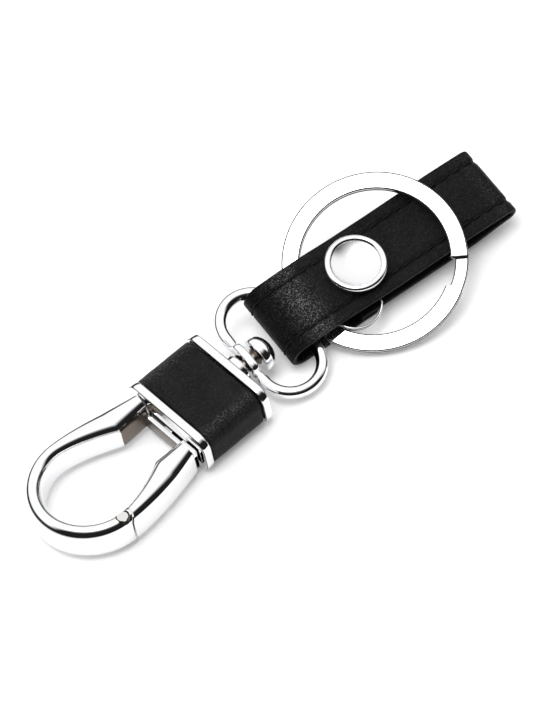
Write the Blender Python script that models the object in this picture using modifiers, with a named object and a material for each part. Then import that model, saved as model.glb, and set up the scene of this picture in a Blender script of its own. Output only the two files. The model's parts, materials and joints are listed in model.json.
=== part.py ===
"""Leather carabiner keychain: a gated hook on a leather block, a swivel ring, a snap strap, two rings.

Metres. X runs along the swivel's axis from the hook to the strap, Y across, Z up. The origin lies on the
table, under the middle of the end plate that carries the hook.
"""
import bpy
import bmesh
from math import acos, asin, atan2, cos, pi, radians, sin, sqrt
from mathutils import Matrix, Vector

MM = 0.001

# Clearances shared by all pieces
SEAT_GAP = 0.3 * MM
RUN_GAP = 0.3 * MM
SNUG_GAP = 0.15 * MM
CUT_OVERRUN = 1.0 * MM

# Block: two end plates, a core and the leather sleeve between them
PLATE_WIDTH = 21.8 * MM
PLATE_HEIGHT = 9.6 * MM
PLATE_THICKNESS = 1.8 * MM
PLATE_CORNER = 3.2 * MM
PLATE_EDGE = 0.3 * MM
PLATE_SPACING = 14.65 * MM
SLEEVE_INSET = 0.35 * MM
SLEEVE_THICKNESS = 1.2 * MM
AXIS_Z = PLATE_HEIGHT / 2

# Hook frame and gate, seen from above
HOOK_BASE_X = -PLATE_THICKNESS / 2 - SEAT_GAP
HOOK_BOW_X = -19.6 * MM
HOOK_BOW_RADIUS = 12.35 * MM
HOOK_ARM = 3.45 * MM
HOOK_BASE_HALF = 9.2 * MM
HOOK_THROAT_X = -8.0 * MM
HOOK_THROAT_HALF = 4.9 * MM
HOOK_ROOT_HALF = 5.2 * MM
HOOK_HEIGHT = 6.5 * MM
HOOK_MIDDLE_Z = 4.85 * MM
HOOK_DOME = 1.55 * MM
HOOK_EDGE = 0.3 * MM
HOOK_TENON_RADIUS = 1.4 * MM
HOOK_TENON_LENGTH = 5.0 * MM
BAR_DEPTH = 0.9 * MM
BRIDGE_HEIGHT = 3.6 * MM
TENON_Z = HOOK_MIDDLE_Z - HOOK_HEIGHT / 2 + BRIDGE_HEIGHT / 2
STOP_END = 8.9 * MM
STOP_HEIGHT = 5.0 * MM
PIVOT_ANGLE = radians(264.7)
CLEVIS_SLOT = 4.0 * MM
SLOT_WALL = 0.35 * MM
SLOT_MOUTH_OUT = 1.1 * MM
SLOT_MOUTH_IN = 2.3 * MM
TONGUE_HEIGHT = 1.6 * MM
TONGUE_WIDTH = 1.4 * MM
PIN_RADIUS = 0.5 * MM
PIN_HEAD_RADIUS = 1.05 * MM
PIN_HEAD_HEIGHT = 0.4 * MM
SPRING_RADIUS = 0.98 * MM
SPRING_WIRE = 0.25 * MM
SPRING_PITCH = 0.5 * MM
SPRING_TURNS = 2.5

# Swivel: domed post, collar and the oval ring that turns on the post
COLLAR_RADIUS = 3.3 * MM
COLLAR_THICKNESS = 1.6 * MM
COLLAR_EDGE = 0.4 * MM
BAR_PLAY = 0.75 * MM
POST_RADIUS = 1.3 * MM
POST_TAIL = 6.0 * MM
POST_NECK = 0.9 * MM
DOME_RADIUS = 3.6 * MM
DOME_HEIGHT = 3.5 * MM
DOME_RIM = 0.9 * MM
OVAL_WIRE = 2.4 * MM
OVAL_HALF_WIDTH = 12.75 * MM
OVAL_BEND = 6.05 * MM
BAR_LENGTH = 7.0 * MM
BAR_THICKNESS = 2.0 * MM
BAR_HEIGHT = 5.2 * MM
BAR_CORNER = 1.6 * MM
BAR_EDGE = 0.4 * MM
BAR_BORE = 1.95 * MM

# Strap, in its own frame: x along it from the wire that carries it, z up through its layers
STRAP_WIDTH = 15.5 * MM
LEATHER = 1.1 * MM
FOLD_RADIUS = 3.35 * MM
FOLD_X = -2.0 * MM
STRAP_END = 47.2 * MM
TOP_LEVEL = 3.45 * MM
RISE_LEVEL = 3.85 * MM
END_LEVEL = 3.7 * MM
RING_GAP = 2.6 * MM
LAYER_GAP = 0.3 * MM
END_GAP = 1.3 * MM
EYE_RADIUS = 1.3 * MM
SNAP_X = 15.1 * MM
SHOULDER = 6.6 * MM
CREST = 20.0 * MM
BAND_TAIL = 4.2 * MM
TIP_X = 11.6 * MM
TIP_SWELL = 0.5 * MM
FLAP_START = 1.2 * MM
STITCH_EDGE = 2.65 * MM
THREAD = 0.3 * MM
GROOVE_DEPTH = 0.6 * MM

# Snap fastener
CAP_RADIUS = 6.0 * MM
CAP_HEIGHT = 1.8 * MM
CAP_ROLL = 0.5 * MM
CAP_DISH = 0.55 * MM
CAP_WALL = 0.5 * MM
RIVET_FLANGE = 3.6 * MM
RIVET_THICKNESS = 0.3 * MM
RIVET_RADIUS = 1.0 * MM
SOCKET_RADIUS = 2.0 * MM
SOCKET_HEIGHT = 1.0 * MM
STUD_RADIUS = 0.6 * MM
STUD_RISE = 0.5 * MM
BACK_RADIUS = 4.0 * MM
BACK_HEIGHT = 0.8 * MM
BACK_RECESS = 0.4 * MM

# Rings
KEY_RING_RADIUS = 17.5 * MM
KEY_RING_BAND = 3.3 * MM
KEY_RING_TURN = 0.7 * MM
KEY_RING_PITCH = 1.0 * MM
KEY_RING_RAMP = radians(24)
KEY_RING_NOTCH = 0.8 * MM
SMALL_RING_SHARE = 0.297
SMALL_RING_RADIUS = KEY_RING_RADIUS * SMALL_RING_SHARE
SMALL_RING_WIRE = 0.36 * MM
SMALL_RING_PITCH = 0.54 * MM

# Pose in which the pieces lie on the table
SWIVEL_TURN = radians(13)
SWIVEL_YAW = radians(-3.5)
SWIVEL_SHIFT = 0.55 * MM
STRAP_YAW = radians(-2.6)
STRAP_SHIFT = 1.75 * MM
KEY_RING_INSET = 1.7 * MM
KEY_RING_Y = -1.1 * MM
KEY_RING_LOW = -0.8 * MM
KEY_RING_HIGH = 6.48 * MM
KEY_RING_ROLL = radians(4.5)
KEY_RING_SPLIT = radians(-58)
SMALL_RING_ROLL = radians(5)
SMALL_RING_LIFT = 1.1 * MM
RING_PLAY = 0.3 * MM

ROUND_STEPS = 32
SMALL_STEPS = 16


def clear_scene():
    for obj in list(bpy.data.objects):
        bpy.data.objects.remove(obj, do_unlink=True)


def new_collection(name):
    collection = bpy.data.collections.new(name)
    bpy.context.scene.collection.children.link(collection)
    return collection


def make_material(name, colour, metallic, roughness):
    material = bpy.data.materials.new(name)
    material.use_nodes = True
    shader = material.node_tree.nodes["Principled BSDF"]
    shader.inputs["Base Color"].default_value = (*colour, 1.0)
    shader.inputs["Metallic"].default_value = metallic
    shader.inputs["Roughness"].default_value = roughness
    return material


def arc(centre, radius, start, end, steps):
    """Points on an arc from angle start to angle end, both included."""
    points = []
    for i in range(steps + 1):
        angle = start + (end - start) * i / steps
        points.append((centre[0] + radius * cos(angle), centre[1] + radius * sin(angle)))
    return points


def rounded_rectangle(width, height, corner, steps=6):
    points = []
    for i, (sx, sy) in enumerate(((1, 1), (-1, 1), (-1, -1), (1, -1))):
        centre = (sx * (width / 2 - corner), sy * (height / 2 - corner))
        points += arc(centre, corner, i * pi / 2, (i + 1) * pi / 2, steps)
    return points


def offset_path(path, offset):
    """A path of 2D points moved to its left by offset."""
    points = []
    for i, (x, y) in enumerate(path):
        before = path[max(i - 1, 0)]
        after = path[min(i + 1, len(path) - 1)]
        along = Vector((after[0] - before[0], after[1] - before[1])).normalized()
        points.append((x - along.y * offset, y + along.x * offset))
    return points


def ribbon(path, thickness):
    """Closed outline of a strip of even thickness along a path of 2D points."""
    return offset_path(path, thickness / 2) + offset_path(path, -thickness / 2)[::-1]


def weld(mesh):
    """Join coincident points and point all faces outwards."""
    work = bmesh.new()
    work.from_mesh(mesh)
    bmesh.ops.remove_doubles(work, verts=work.verts, dist=0.001 * MM)
    bmesh.ops.recalc_face_normals(work, faces=work.faces)
    work.to_mesh(mesh)
    work.free()


def curve_to_object(name, curve, collection):
    """Evaluate a curve into a welded mesh object."""
    source = bpy.data.objects.new(name + "_curve", curve)
    bpy.context.scene.collection.objects.link(source)
    bpy.context.view_layer.update()
    graph = bpy.context.evaluated_depsgraph_get()
    mesh = bpy.data.meshes.new_from_object(source.evaluated_get(graph))
    bpy.data.objects.remove(source, do_unlink=True)
    bpy.data.curves.remove(curve)
    weld(mesh)
    mesh.name = name
    obj = bpy.data.objects.new(name, mesh)
    collection.objects.link(obj)
    return obj


def slab(name, outlines, thickness, collection):
    """Flat piece in the XY plane, centred on Z, from one outline and any holes."""
    curve = bpy.data.curves.new(name, "CURVE")
    curve.dimensions = "2D"
    curve.fill_mode = "BOTH"
    curve.extrude = thickness / 2
    for outline in outlines:
        spline = curve.splines.new("POLY")
        spline.points.add(len(outline) - 1)
        for point, (x, y) in zip(spline.points, outline):
            point.co = (x, y, 0.0, 1.0)
        spline.use_cyclic_u = True
    return curve_to_object(name, curve, collection)


def path_curve(name, points, cyclic=False):
    curve = bpy.data.curves.new(name, "CURVE")
    curve.dimensions = "3D"
    curve.twist_mode = "Z_UP"
    curve.use_fill_caps = True
    spline = curve.splines.new("POLY")
    spline.points.add(len(points) - 1)
    for point, co in zip(spline.points, points):
        point.co = (*co, 1.0)
    spline.use_cyclic_u = cyclic
    return curve


def wire(name, points, diameter, collection, cyclic=False, resolution=2):
    """Round wire along points."""
    curve = path_curve(name, points, cyclic)
    curve.bevel_depth = diameter / 2
    curve.bevel_resolution = resolution
    return curve_to_object(name, curve, collection)


def strip(name, points, width, thickness, collection):
    """Flat strip along points, its width level and its thickness upright."""
    section = bpy.data.curves.new(name + "_section", "CURVE")
    section.dimensions = "2D"
    section.fill_mode = "NONE"
    spline = section.splines.new("POLY")
    corners = rounded_rectangle(width, thickness, SNUG_GAP, 1)
    spline.points.add(len(corners) - 1)
    for point, (x, y) in zip(spline.points, corners):
        point.co = (x, y, 0.0, 1.0)
    spline.use_cyclic_u = True
    shape = bpy.data.objects.new(name + "_section", section)
    bpy.context.scene.collection.objects.link(shape)
    curve = path_curve(name, points)
    curve.bevel_mode = "OBJECT"
    curve.bevel_object = shape
    obj = curve_to_object(name, curve, collection)
    bpy.data.objects.remove(shape, do_unlink=True)
    bpy.data.curves.remove(section)
    return obj


def apply_modifiers(obj):
    bpy.context.view_layer.update()
    graph = bpy.context.evaluated_depsgraph_get()
    mesh = bpy.data.meshes.new_from_object(obj.evaluated_get(graph))
    obj.modifiers.clear()
    obj.data = mesh
    weld(mesh)
    return obj


def turned(name, profile, collection, steps=ROUND_STEPS):
    """Turned piece about Z from (radius, height) points that run down its outer side."""
    mesh = bpy.data.meshes.new(name)
    points = [(radius, 0.0, height) for radius, height in profile]
    mesh.from_pydata(points, [(i, i + 1) for i in range(len(points) - 1)], [])
    obj = bpy.data.objects.new(name, mesh)
    collection.objects.link(obj)
    screw = obj.modifiers.new("turn", "SCREW")
    screw.axis = "Z"
    screw.steps = steps
    screw.render_steps = steps
    screw.use_merge_vertices = True
    screw.merge_threshold = 0.001 * MM
    return apply_modifiers(obj)


def round_edges(obj, width, segments, chosen):
    """Round the sharp edges that the chosen test accepts by their two end points."""
    work = bmesh.new()
    work.from_mesh(obj.data)
    bmesh.ops.dissolve_limit(work, angle_limit=radians(0.5), verts=work.verts, edges=work.edges)
    edges = [edge for edge in work.edges if edge.calc_face_angle(0) > radians(70)
             and chosen(edge.verts[0].co, edge.verts[1].co)]
    bmesh.ops.bevel(work, geom=edges, offset=width, offset_type="OFFSET", segments=segments, profile=0.5,
                    affect="EDGES", clamp_overlap=False)
    work.to_mesh(obj.data)
    work.free()
    weld(obj.data)
    return obj


def boolean(obj, cutter, operation):
    """Cut or join with another mesh object, which is used up."""
    modifier = obj.modifiers.new(operation.lower(), "BOOLEAN")
    modifier.operation = operation
    modifier.object = cutter
    modifier.solver = "EXACT"
    apply_modifiers(obj)
    bpy.data.objects.remove(cutter, do_unlink=True)
    return obj


def rod(name, radius, start, end, collection, steps=24):
    """Cylinder about Z from start to end."""
    mesh = bpy.data.meshes.new(name)
    work = bmesh.new()
    bmesh.ops.create_cone(work, cap_ends=True, segments=steps, radius1=radius, radius2=radius,
                          depth=end - start)
    work.to_mesh(mesh)
    work.free()
    mesh.transform(Matrix.Translation((0, 0, (start + end) / 2)))
    obj = bpy.data.objects.new(name, mesh)
    collection.objects.link(obj)
    return obj


def box(name, low, high, collection):
    mesh = bpy.data.meshes.new(name)
    work = bmesh.new()
    bmesh.ops.create_cube(work, size=1.0)
    work.to_mesh(mesh)
    work.free()
    size = [b - a for a, b in zip(low, high)]
    middle = [(b + a) / 2 for a, b in zip(low, high)]
    mesh.transform(Matrix.Translation(middle) @ Matrix.Diagonal((*size, 1.0)))
    obj = bpy.data.objects.new(name, mesh)
    collection.objects.link(obj)
    return obj


def moved(obj, matrix):
    obj.data.transform(matrix)
    return obj


def shifted(obj, x, y, z):
    return moved(obj, Matrix.Translation((x, y, z)))


def copied(obj, name, collection):
    twin = bpy.data.objects.new(name, obj.data.copy())
    collection.objects.link(twin)
    return twin


def finish(obj, material, parent=None):
    """Give the piece its material, its shading and its parent."""
    obj.data.materials.clear()
    obj.data.materials.append(material)
    obj.data.shade_smooth()
    obj.data.set_sharp_from_angle(angle=radians(35))
    obj.parent = parent
    return obj


def empty(name, collection, matrix, parent=None):
    obj = bpy.data.objects.new(name, None)
    obj.empty_display_size = PLATE_HEIGHT
    collection.objects.link(obj)
    obj.parent = parent
    obj.matrix_basis = matrix
    return obj


# Turns a slab's plane, or a turned piece's axis, to where the piece needs it
ACROSS = Matrix(((0, 0, 1, 0), (1, 0, 0, 0), (0, 1, 0, 0), (0, 0, 0, 1)))
UPRIGHT = Matrix(((1, 0, 0, 0), (0, 0, -1, 0), (0, 1, 0, 0), (0, 0, 0, 1)))
ON_AXIS = Matrix.Translation((0, 0, AXIS_Z)) @ ACROSS
ON_TENON = Matrix.Translation((0, 0, TENON_Z)) @ ACROSS


def plate(name, x, bore, place, pieces, material):
    """End plate of the block, with the bore for what it carries."""
    outline = rounded_rectangle(PLATE_WIDTH, PLATE_HEIGHT, PLATE_CORNER)
    obj = slab(name, [outline], PLATE_THICKNESS, pieces)
    round_edges(obj, PLATE_EDGE, 2, lambda a, b: True)
    moved(obj, ON_AXIS)
    hole = moved(rod("bore", bore, -PLATE_THICKNESS, PLATE_THICKNESS, pieces), place)
    shifted(boolean(obj, hole, "DIFFERENCE"), x, 0, 0)
    return finish(obj, material)


def block(pieces, chrome, leather, zinc):
    plate("end_plate_hook", 0.0, HOOK_TENON_RADIUS + SEAT_GAP, ON_TENON, pieces, chrome)
    plate("end_plate_swivel", PLATE_SPACING, POST_RADIUS + SEAT_GAP, ON_AXIS, pieces, chrome)
    length = PLATE_SPACING - PLATE_THICKNESS - 2 * SEAT_GAP
    outer = (PLATE_WIDTH - 2 * SLEEVE_INSET, PLATE_HEIGHT - 2 * SLEEVE_INSET, PLATE_CORNER - SLEEVE_INSET)
    inner = (outer[0] - 2 * SLEEVE_THICKNESS, outer[1] - 2 * SLEEVE_THICKNESS, outer[2] - SLEEVE_THICKNESS)
    core = (inner[0] - 2 * SEAT_GAP, inner[1] - 2 * SEAT_GAP, inner[2] - SEAT_GAP)
    place = Matrix.Translation((PLATE_SPACING / 2, 0, 0)) @ ON_AXIS
    sleeve = slab("leather_sleeve", [rounded_rectangle(*outer), rounded_rectangle(*inner)], length, pieces)
    finish(moved(sleeve, place), leather)
    body = moved(slab("core_block", [rounded_rectangle(*core, 3)], length, pieces), place)
    tenon_end = HOOK_BASE_X + HOOK_TENON_LENGTH
    post_end = PLATE_SPACING - PLATE_THICKNESS / 2 - SEAT_GAP - POST_TAIL
    bore = rod("bore", HOOK_TENON_RADIUS + SEAT_GAP, 0, tenon_end + SEAT_GAP, pieces)
    boolean(body, moved(bore, ON_TENON), "DIFFERENCE")
    bore = rod("bore", POST_RADIUS + SEAT_GAP, post_end - SEAT_GAP, PLATE_SPACING, pieces)
    boolean(body, moved(bore, ON_AXIS), "DIFFERENCE")
    finish(body, zinc)


def outer_half(x):
    """Half width of the hook's outside at x, between its base and its bow."""
    share = (HOOK_BASE_X - x) / (HOOK_BASE_X - HOOK_BOW_X)
    return HOOK_BASE_HALF + (HOOK_BOW_RADIUS - HOOK_BASE_HALF) * sin(pi / 2 * share)


def inner_half(x):
    """Half width of the hook's opening at x, between its throat and its bow."""
    share = (x - HOOK_BOW_X) / (HOOK_THROAT_X - HOOK_BOW_X)
    wide = HOOK_BOW_RADIUS - HOOK_ARM
    return wide - (wide - HOOK_THROAT_HALF) * share * sqrt(share)


def arm_side(half, start, end, steps, side):
    points = []
    for i in range(steps + 1):
        x = start + (end - start) * i / steps
        points.append((x, side * half(x)))
    return points


PIVOT_REACH = HOOK_BOW_RADIUS - HOOK_ARM / 2
PIVOT_X = HOOK_BOW_X + PIVOT_REACH * cos(PIVOT_ANGLE)
PIVOT_Y = PIVOT_REACH * sin(PIVOT_ANGLE)
KNUCKLE = HOOK_ARM / 2
SLOT_RADIUS = KNUCKLE - SLOT_WALL
STOP_FACE = HOOK_BASE_X - BAR_DEPTH


def hook_loop(pieces):
    """Bow and both arms in one piece, before the gate is parted from it."""
    bow = (HOOK_BOW_X, 0.0)
    outline = arm_side(outer_half, HOOK_BASE_X, HOOK_BOW_X, 8, 1)
    outline += arc(bow, HOOK_BOW_RADIUS, pi / 2, 3 * pi / 2, 28)[1:]
    outline += arm_side(outer_half, HOOK_BOW_X, HOOK_BASE_X, 8, -1)[1:]
    outline += [(HOOK_BASE_X, -HOOK_ROOT_HALF)]
    outline += arm_side(inner_half, HOOK_THROAT_X, HOOK_BOW_X, 8, -1)
    outline += arc(bow, HOOK_BOW_RADIUS - HOOK_ARM, 3 * pi / 2, pi / 2, 24)[1:]
    outline += arm_side(inner_half, HOOK_BOW_X, HOOK_THROAT_X, 8, 1)[1:]
    outline += [(HOOK_BASE_X, HOOK_ROOT_HALF)]
    loop = slab("hook_loop", [outline], HOOK_HEIGHT, pieces)
    end = HOOK_BASE_X - HOOK_EDGE
    round_edges(loop, HOOK_DOME, 4, lambda a, b: min(a.z, b.z) > 0 and min(a.x, b.x) < end)
    low = -HOOK_HEIGHT / 2 + HOOK_EDGE
    round_edges(loop, HOOK_EDGE, 1, lambda a, b: max(a.z, b.z) < low and min(a.x, b.x) < end)
    return loop


def gate_space(radius, end_x, pieces):
    """Block that holds the gate: it starts round the knuckle and ends at end_x."""
    reach = HOOK_BOW_RADIUS
    deep = -PIVOT_REACH - HOOK_ARM
    shallow = -HOOK_THROAT_HALF / 2
    outline = [(PIVOT_X, deep), (end_x, deep), (end_x, shallow), (PIVOT_X, shallow)]
    shape = slab("gate_space", [outline], reach, pieces)
    knuckle = shifted(rod("knuckle", radius, -reach, reach, pieces, 40), PIVOT_X, PIVOT_Y, 0)
    return boolean(shape, knuckle, "DIFFERENCE")


def at_pivot(obj):
    return shifted(obj, PIVOT_X, PIVOT_Y, 0)


def hook(pieces, chrome, steel):
    loop = hook_loop(pieces)
    gate = copied(loop, "gate", pieces)
    frame = boolean(loop, gate_space(KNUCKLE, CUT_OVERRUN, pieces), "DIFFERENCE")
    frame.name = "hook_frame"
    low = -HOOK_HEIGHT / 2
    stop_top = low + STOP_HEIGHT
    bridge = box("bridge", (STOP_FACE, -STOP_END, low),
                 (HOOK_BASE_X, HOOK_ROOT_HALF + CUT_OVERRUN, low + BRIDGE_HEIGHT),
                 pieces)
    boolean(frame, bridge, "UNION")
    stop = box("stop", (STOP_FACE, -STOP_END, low), (HOOK_BASE_X, -HOOK_ROOT_HALF, stop_top), pieces)
    boolean(frame, stop, "UNION")
    slot = rod("slot", SLOT_RADIUS, -CLEVIS_SLOT / 2, CLEVIS_SLOT / 2, pieces, ROUND_STEPS)
    mouth = box("mouth", (0, -SLOT_MOUTH_OUT, -CLEVIS_SLOT / 2),
                (HOOK_ARM, SLOT_MOUTH_IN, CLEVIS_SLOT / 2), pieces)
    boolean(frame, at_pivot(boolean(slot, mouth, "UNION")), "DIFFERENCE")
    hole = rod("hole", PIN_RADIUS + SNUG_GAP, -HOOK_HEIGHT, HOOK_HEIGHT, pieces, SMALL_STEPS)
    boolean(frame, at_pivot(hole), "DIFFERENCE")
    head_level = HOOK_HEIGHT / 2 - PIN_HEAD_HEIGHT - SEAT_GAP
    for low_end, high_end in ((head_level, HOOK_HEIGHT), (-HOOK_HEIGHT, -head_level)):
        seat = rod("seat", PIN_HEAD_RADIUS + SNUG_GAP, low_end, high_end, pieces, SMALL_STEPS)
        boolean(frame, at_pivot(seat), "DIFFERENCE")
    tenon = rod("tenon", HOOK_TENON_RADIUS, STOP_FACE + BAR_DEPTH / 2,
                HOOK_BASE_X + HOOK_TENON_LENGTH, pieces)
    shifted(frame, 0, 0, HOOK_MIDDLE_Z)
    finish(boolean(frame, moved(tenon, ON_TENON), "UNION"), chrome)

    boolean(gate, gate_space(KNUCKLE + RUN_GAP, STOP_FACE - RUN_GAP, pieces), "INTERSECT")
    tongue_low = CLEVIS_SLOT / 2 - RUN_GAP - TONGUE_HEIGHT
    tongue = at_pivot(rod("tongue", SLOT_RADIUS - RUN_GAP, tongue_low, tongue_low + TONGUE_HEIGHT, pieces))
    web = box("web", (PIVOT_X, PIVOT_Y - TONGUE_WIDTH / 2, tongue_low),
              (PIVOT_X + HOOK_ARM, PIVOT_Y + TONGUE_WIDTH / 2, tongue_low + TONGUE_HEIGHT), pieces)
    boolean(gate, boolean(tongue, web, "UNION"), "UNION")
    hole = rod("hole", PIN_RADIUS + SNUG_GAP, -HOOK_HEIGHT, HOOK_HEIGHT, pieces, SMALL_STEPS)
    boolean(gate, at_pivot(hole), "DIFFERENCE")
    shifted(gate, -PIVOT_X, -PIVOT_Y, 0)
    gate.location = (PIVOT_X, PIVOT_Y, HOOK_MIDDLE_Z)
    finish(gate, chrome)

    top = HOOK_HEIGHT / 2 - SNUG_GAP
    shoulder = top - PIN_HEAD_HEIGHT
    profile = [(0, top), (PIN_HEAD_RADIUS, top), (PIN_HEAD_RADIUS, shoulder), (PIN_RADIUS, shoulder),
               (PIN_RADIUS, -shoulder), (PIN_HEAD_RADIUS, -shoulder), (PIN_HEAD_RADIUS, -top), (0, -top)]
    pin = turned("gate_pin", profile, pieces, SMALL_STEPS)
    pin.location = (PIVOT_X, PIVOT_Y, HOOK_MIDDLE_Z)
    finish(pin, steel)

    start = -CLEVIS_SLOT / 2 + RUN_GAP + SPRING_WIRE / 2
    count = int(SPRING_TURNS * SMALL_STEPS)
    coil = []
    for i in range(count + 1):
        turn = i / SMALL_STEPS
        angle = 2 * pi * turn
        coil.append((SPRING_RADIUS * cos(angle), SPRING_RADIUS * sin(angle), start + SPRING_PITCH * turn))
    spring = wire("gate_spring", coil, SPRING_WIRE, pieces, resolution=1)
    spring.location = (PIVOT_X, PIVOT_Y, HOOK_MIDDLE_Z)
    finish(spring, steel)


def swivel(pieces, chrome, steel):
    """Post and collar on the block, and the oval ring; returns the empty that holds the strap's wire."""
    collar_start = PLATE_SPACING + PLATE_THICKNESS / 2 + SEAT_GAP
    collar_end = collar_start + COLLAR_THICKNESS
    bar_start = collar_end + BAR_PLAY
    bar_end = bar_start + BAR_THICKNESS
    dome_start = bar_end + POST_NECK
    tail_end = PLATE_SPACING - PLATE_THICKNESS / 2 - SEAT_GAP - POST_TAIL
    bore = POST_RADIUS + SEAT_GAP
    profile = [(bore, collar_end), (COLLAR_RADIUS - COLLAR_EDGE, collar_end),
               (COLLAR_RADIUS, collar_end - COLLAR_EDGE), (COLLAR_RADIUS, collar_start), (bore, collar_start),
               (bore, collar_end)]
    collar = turned("swivel_collar", profile, pieces)
    collar.matrix_basis = ON_AXIS
    finish(collar, chrome)
    rim_end = dome_start + DOME_RIM
    profile = []
    for x, y in arc((0, rim_end), DOME_RADIUS, pi / 2, 0, 8):
        profile.append((x, rim_end + (y - rim_end) * (DOME_HEIGHT - DOME_RIM) / DOME_RADIUS))
    profile[0] = (0, profile[0][1])
    profile += [(DOME_RADIUS, dome_start), (POST_RADIUS, dome_start), (POST_RADIUS, tail_end), (0, tail_end)]
    post = turned("swivel_post", profile, pieces)
    post.matrix_basis = ON_AXIS
    finish(post, steel)

    axis = empty("swivel_axis", pieces,
                 Matrix.Translation((0, 0, AXIS_Z)) @ Matrix.Rotation(SWIVEL_TURN, 4, "X"))
    near_x = (bar_start + bar_end) / 2
    play = empty("swivel_play", pieces,
                 Matrix.Translation((near_x, SWIVEL_SHIFT, 0)) @ Matrix.Rotation(SWIVEL_YAW, 4, "Z"), axis)
    straight = OVAL_HALF_WIDTH - OVAL_WIRE / 2 - OVAL_BEND
    route = [(x, y, 0.0) for x, y in arc((OVAL_BEND, straight), OVAL_BEND, 0, pi, 14)]
    route += [(x, y, 0.0) for x, y in arc((OVAL_BEND, -straight), OVAL_BEND, pi, 2 * pi, 14)]
    ring = wire("swivel_ring", route, OVAL_WIRE, pieces, cyclic=True, resolution=3)
    outline = rounded_rectangle(BAR_LENGTH, BAR_HEIGHT, BAR_CORNER, 4)
    bar = slab("bar", [outline], BAR_THICKNESS, pieces)
    round_edges(bar, BAR_EDGE, 2, lambda a, b: True)
    moved(bar, ACROSS)
    for start, end in ((-OVAL_WIRE, -BAR_THICKNESS / 2), (BAR_THICKNESS / 2, OVAL_WIRE)):
        clear = rod("clear", DOME_RADIUS + RUN_GAP, start, end, pieces, ROUND_STEPS)
        boolean(ring, moved(clear, ACROSS), "DIFFERENCE")
    boolean(ring, bar, "UNION")
    hole = rod("hole", BAR_BORE, -BAR_THICKNESS, BAR_THICKNESS, pieces)
    boolean(ring, moved(hole, ACROSS), "DIFFERENCE")
    finish(ring, chrome, play)
    return play


def eased(start, end, steps):
    """Points from start to end, level at both, leaving out the start."""
    points = []
    for i in range(1, steps + 1):
        share = i / steps
        ease = share * share * (3 - 2 * share)
        points.append((start[0] + (end[0] - start[0]) * share, start[1] + (end[1] - start[1]) * ease))
    return points


FOLD_MIDDLE = FOLD_RADIUS - LEATHER / 2
TOP_MIDDLE = TOP_LEVEL - LEATHER / 2
TAIL_MIDDLE = TOP_MIDDLE - LEATHER - RING_GAP
FLAP_MIDDLE = TAIL_MIDDLE - LEATHER - LAYER_GAP
END_RADIUS = (END_GAP + LEATHER) / 2
END_MIDDLE = END_LEVEL - LEATHER / 2
STITCH_Y = STRAP_WIDTH / 2 - STITCH_EDGE
FLAP_TIP_RADIUS = STRAP_WIDTH / 2 + TIP_SWELL


def band_path():
    """Middle line of the band: up round the left fold, along the top, round the right fold and back."""
    path = [(FOLD_X + FLAP_START, -FOLD_MIDDLE)]
    path += arc((FOLD_X, 0), FOLD_MIDDLE, -pi / 2, -3 * pi / 2, 12)
    path += eased((FOLD_X, FOLD_MIDDLE), (SNAP_X - SHOULDER, TOP_MIDDLE), 5)
    path += [(SNAP_X + SHOULDER, TOP_MIDDLE)]
    path += eased(path[-1], (SNAP_X + CREST, RISE_LEVEL - LEATHER / 2), 4)
    end_x = STRAP_END - LEATHER / 2 - END_RADIUS
    path += eased(path[-1], (end_x, END_MIDDLE), 4)
    centre = (end_x, END_MIDDLE - END_RADIUS)
    path += arc(centre, END_RADIUS, pi / 2, -pi / 2, 10)[1:]
    path += eased((end_x, END_MIDDLE - 2 * END_RADIUS), (SNAP_X + CREST, TAIL_MIDDLE), 4)
    path += [(SNAP_X - BAND_TAIL, TAIL_MIDDLE)]
    return path


def flap_path():
    """Middle line of the flap, from the left fold's underside to its tongue."""
    path = [(FOLD_X + FLAP_START + LAYER_GAP, -FOLD_MIDDLE)]
    path += eased(path[0], (SNAP_X, FLAP_MIDDLE), 5)
    path += [(TIP_X + FLAP_TIP_RADIUS, FLAP_MIDDLE)]
    return path


def flap_outline():
    """The flap from above: straight sides and a rounded tongue."""
    half = STRAP_WIDTH / 2
    corner = asin(half / FLAP_TIP_RADIUS)
    outline = arc((TIP_X, 0), FLAP_TIP_RADIUS, -corner, corner, 12)
    return outline + [(FOLD_X, half), (FOLD_X, -half)]


def stitch(name, path, side, leather_piece, pieces, material, frame):
    """Thread along the outer face of a strap piece, let into a groove; side is +1 far or -1 near."""
    y = side * STITCH_Y
    surface = offset_path(path, LEATHER / 2)
    groove = moved(slab("groove", [ribbon(surface, 2 * GROOVE_DEPTH)], THREAD + 2 * SEAT_GAP, pieces), UPRIGHT)
    boolean(leather_piece, shifted(groove, 0, y, 0), "DIFFERENCE")
    line = offset_path(path, LEATHER / 2 - THREAD / 2)[1:-1]
    thread = wire(name, [(x, y, z) for x, z in line], THREAD, pieces, resolution=1)
    finish(thread, material, frame)


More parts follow.
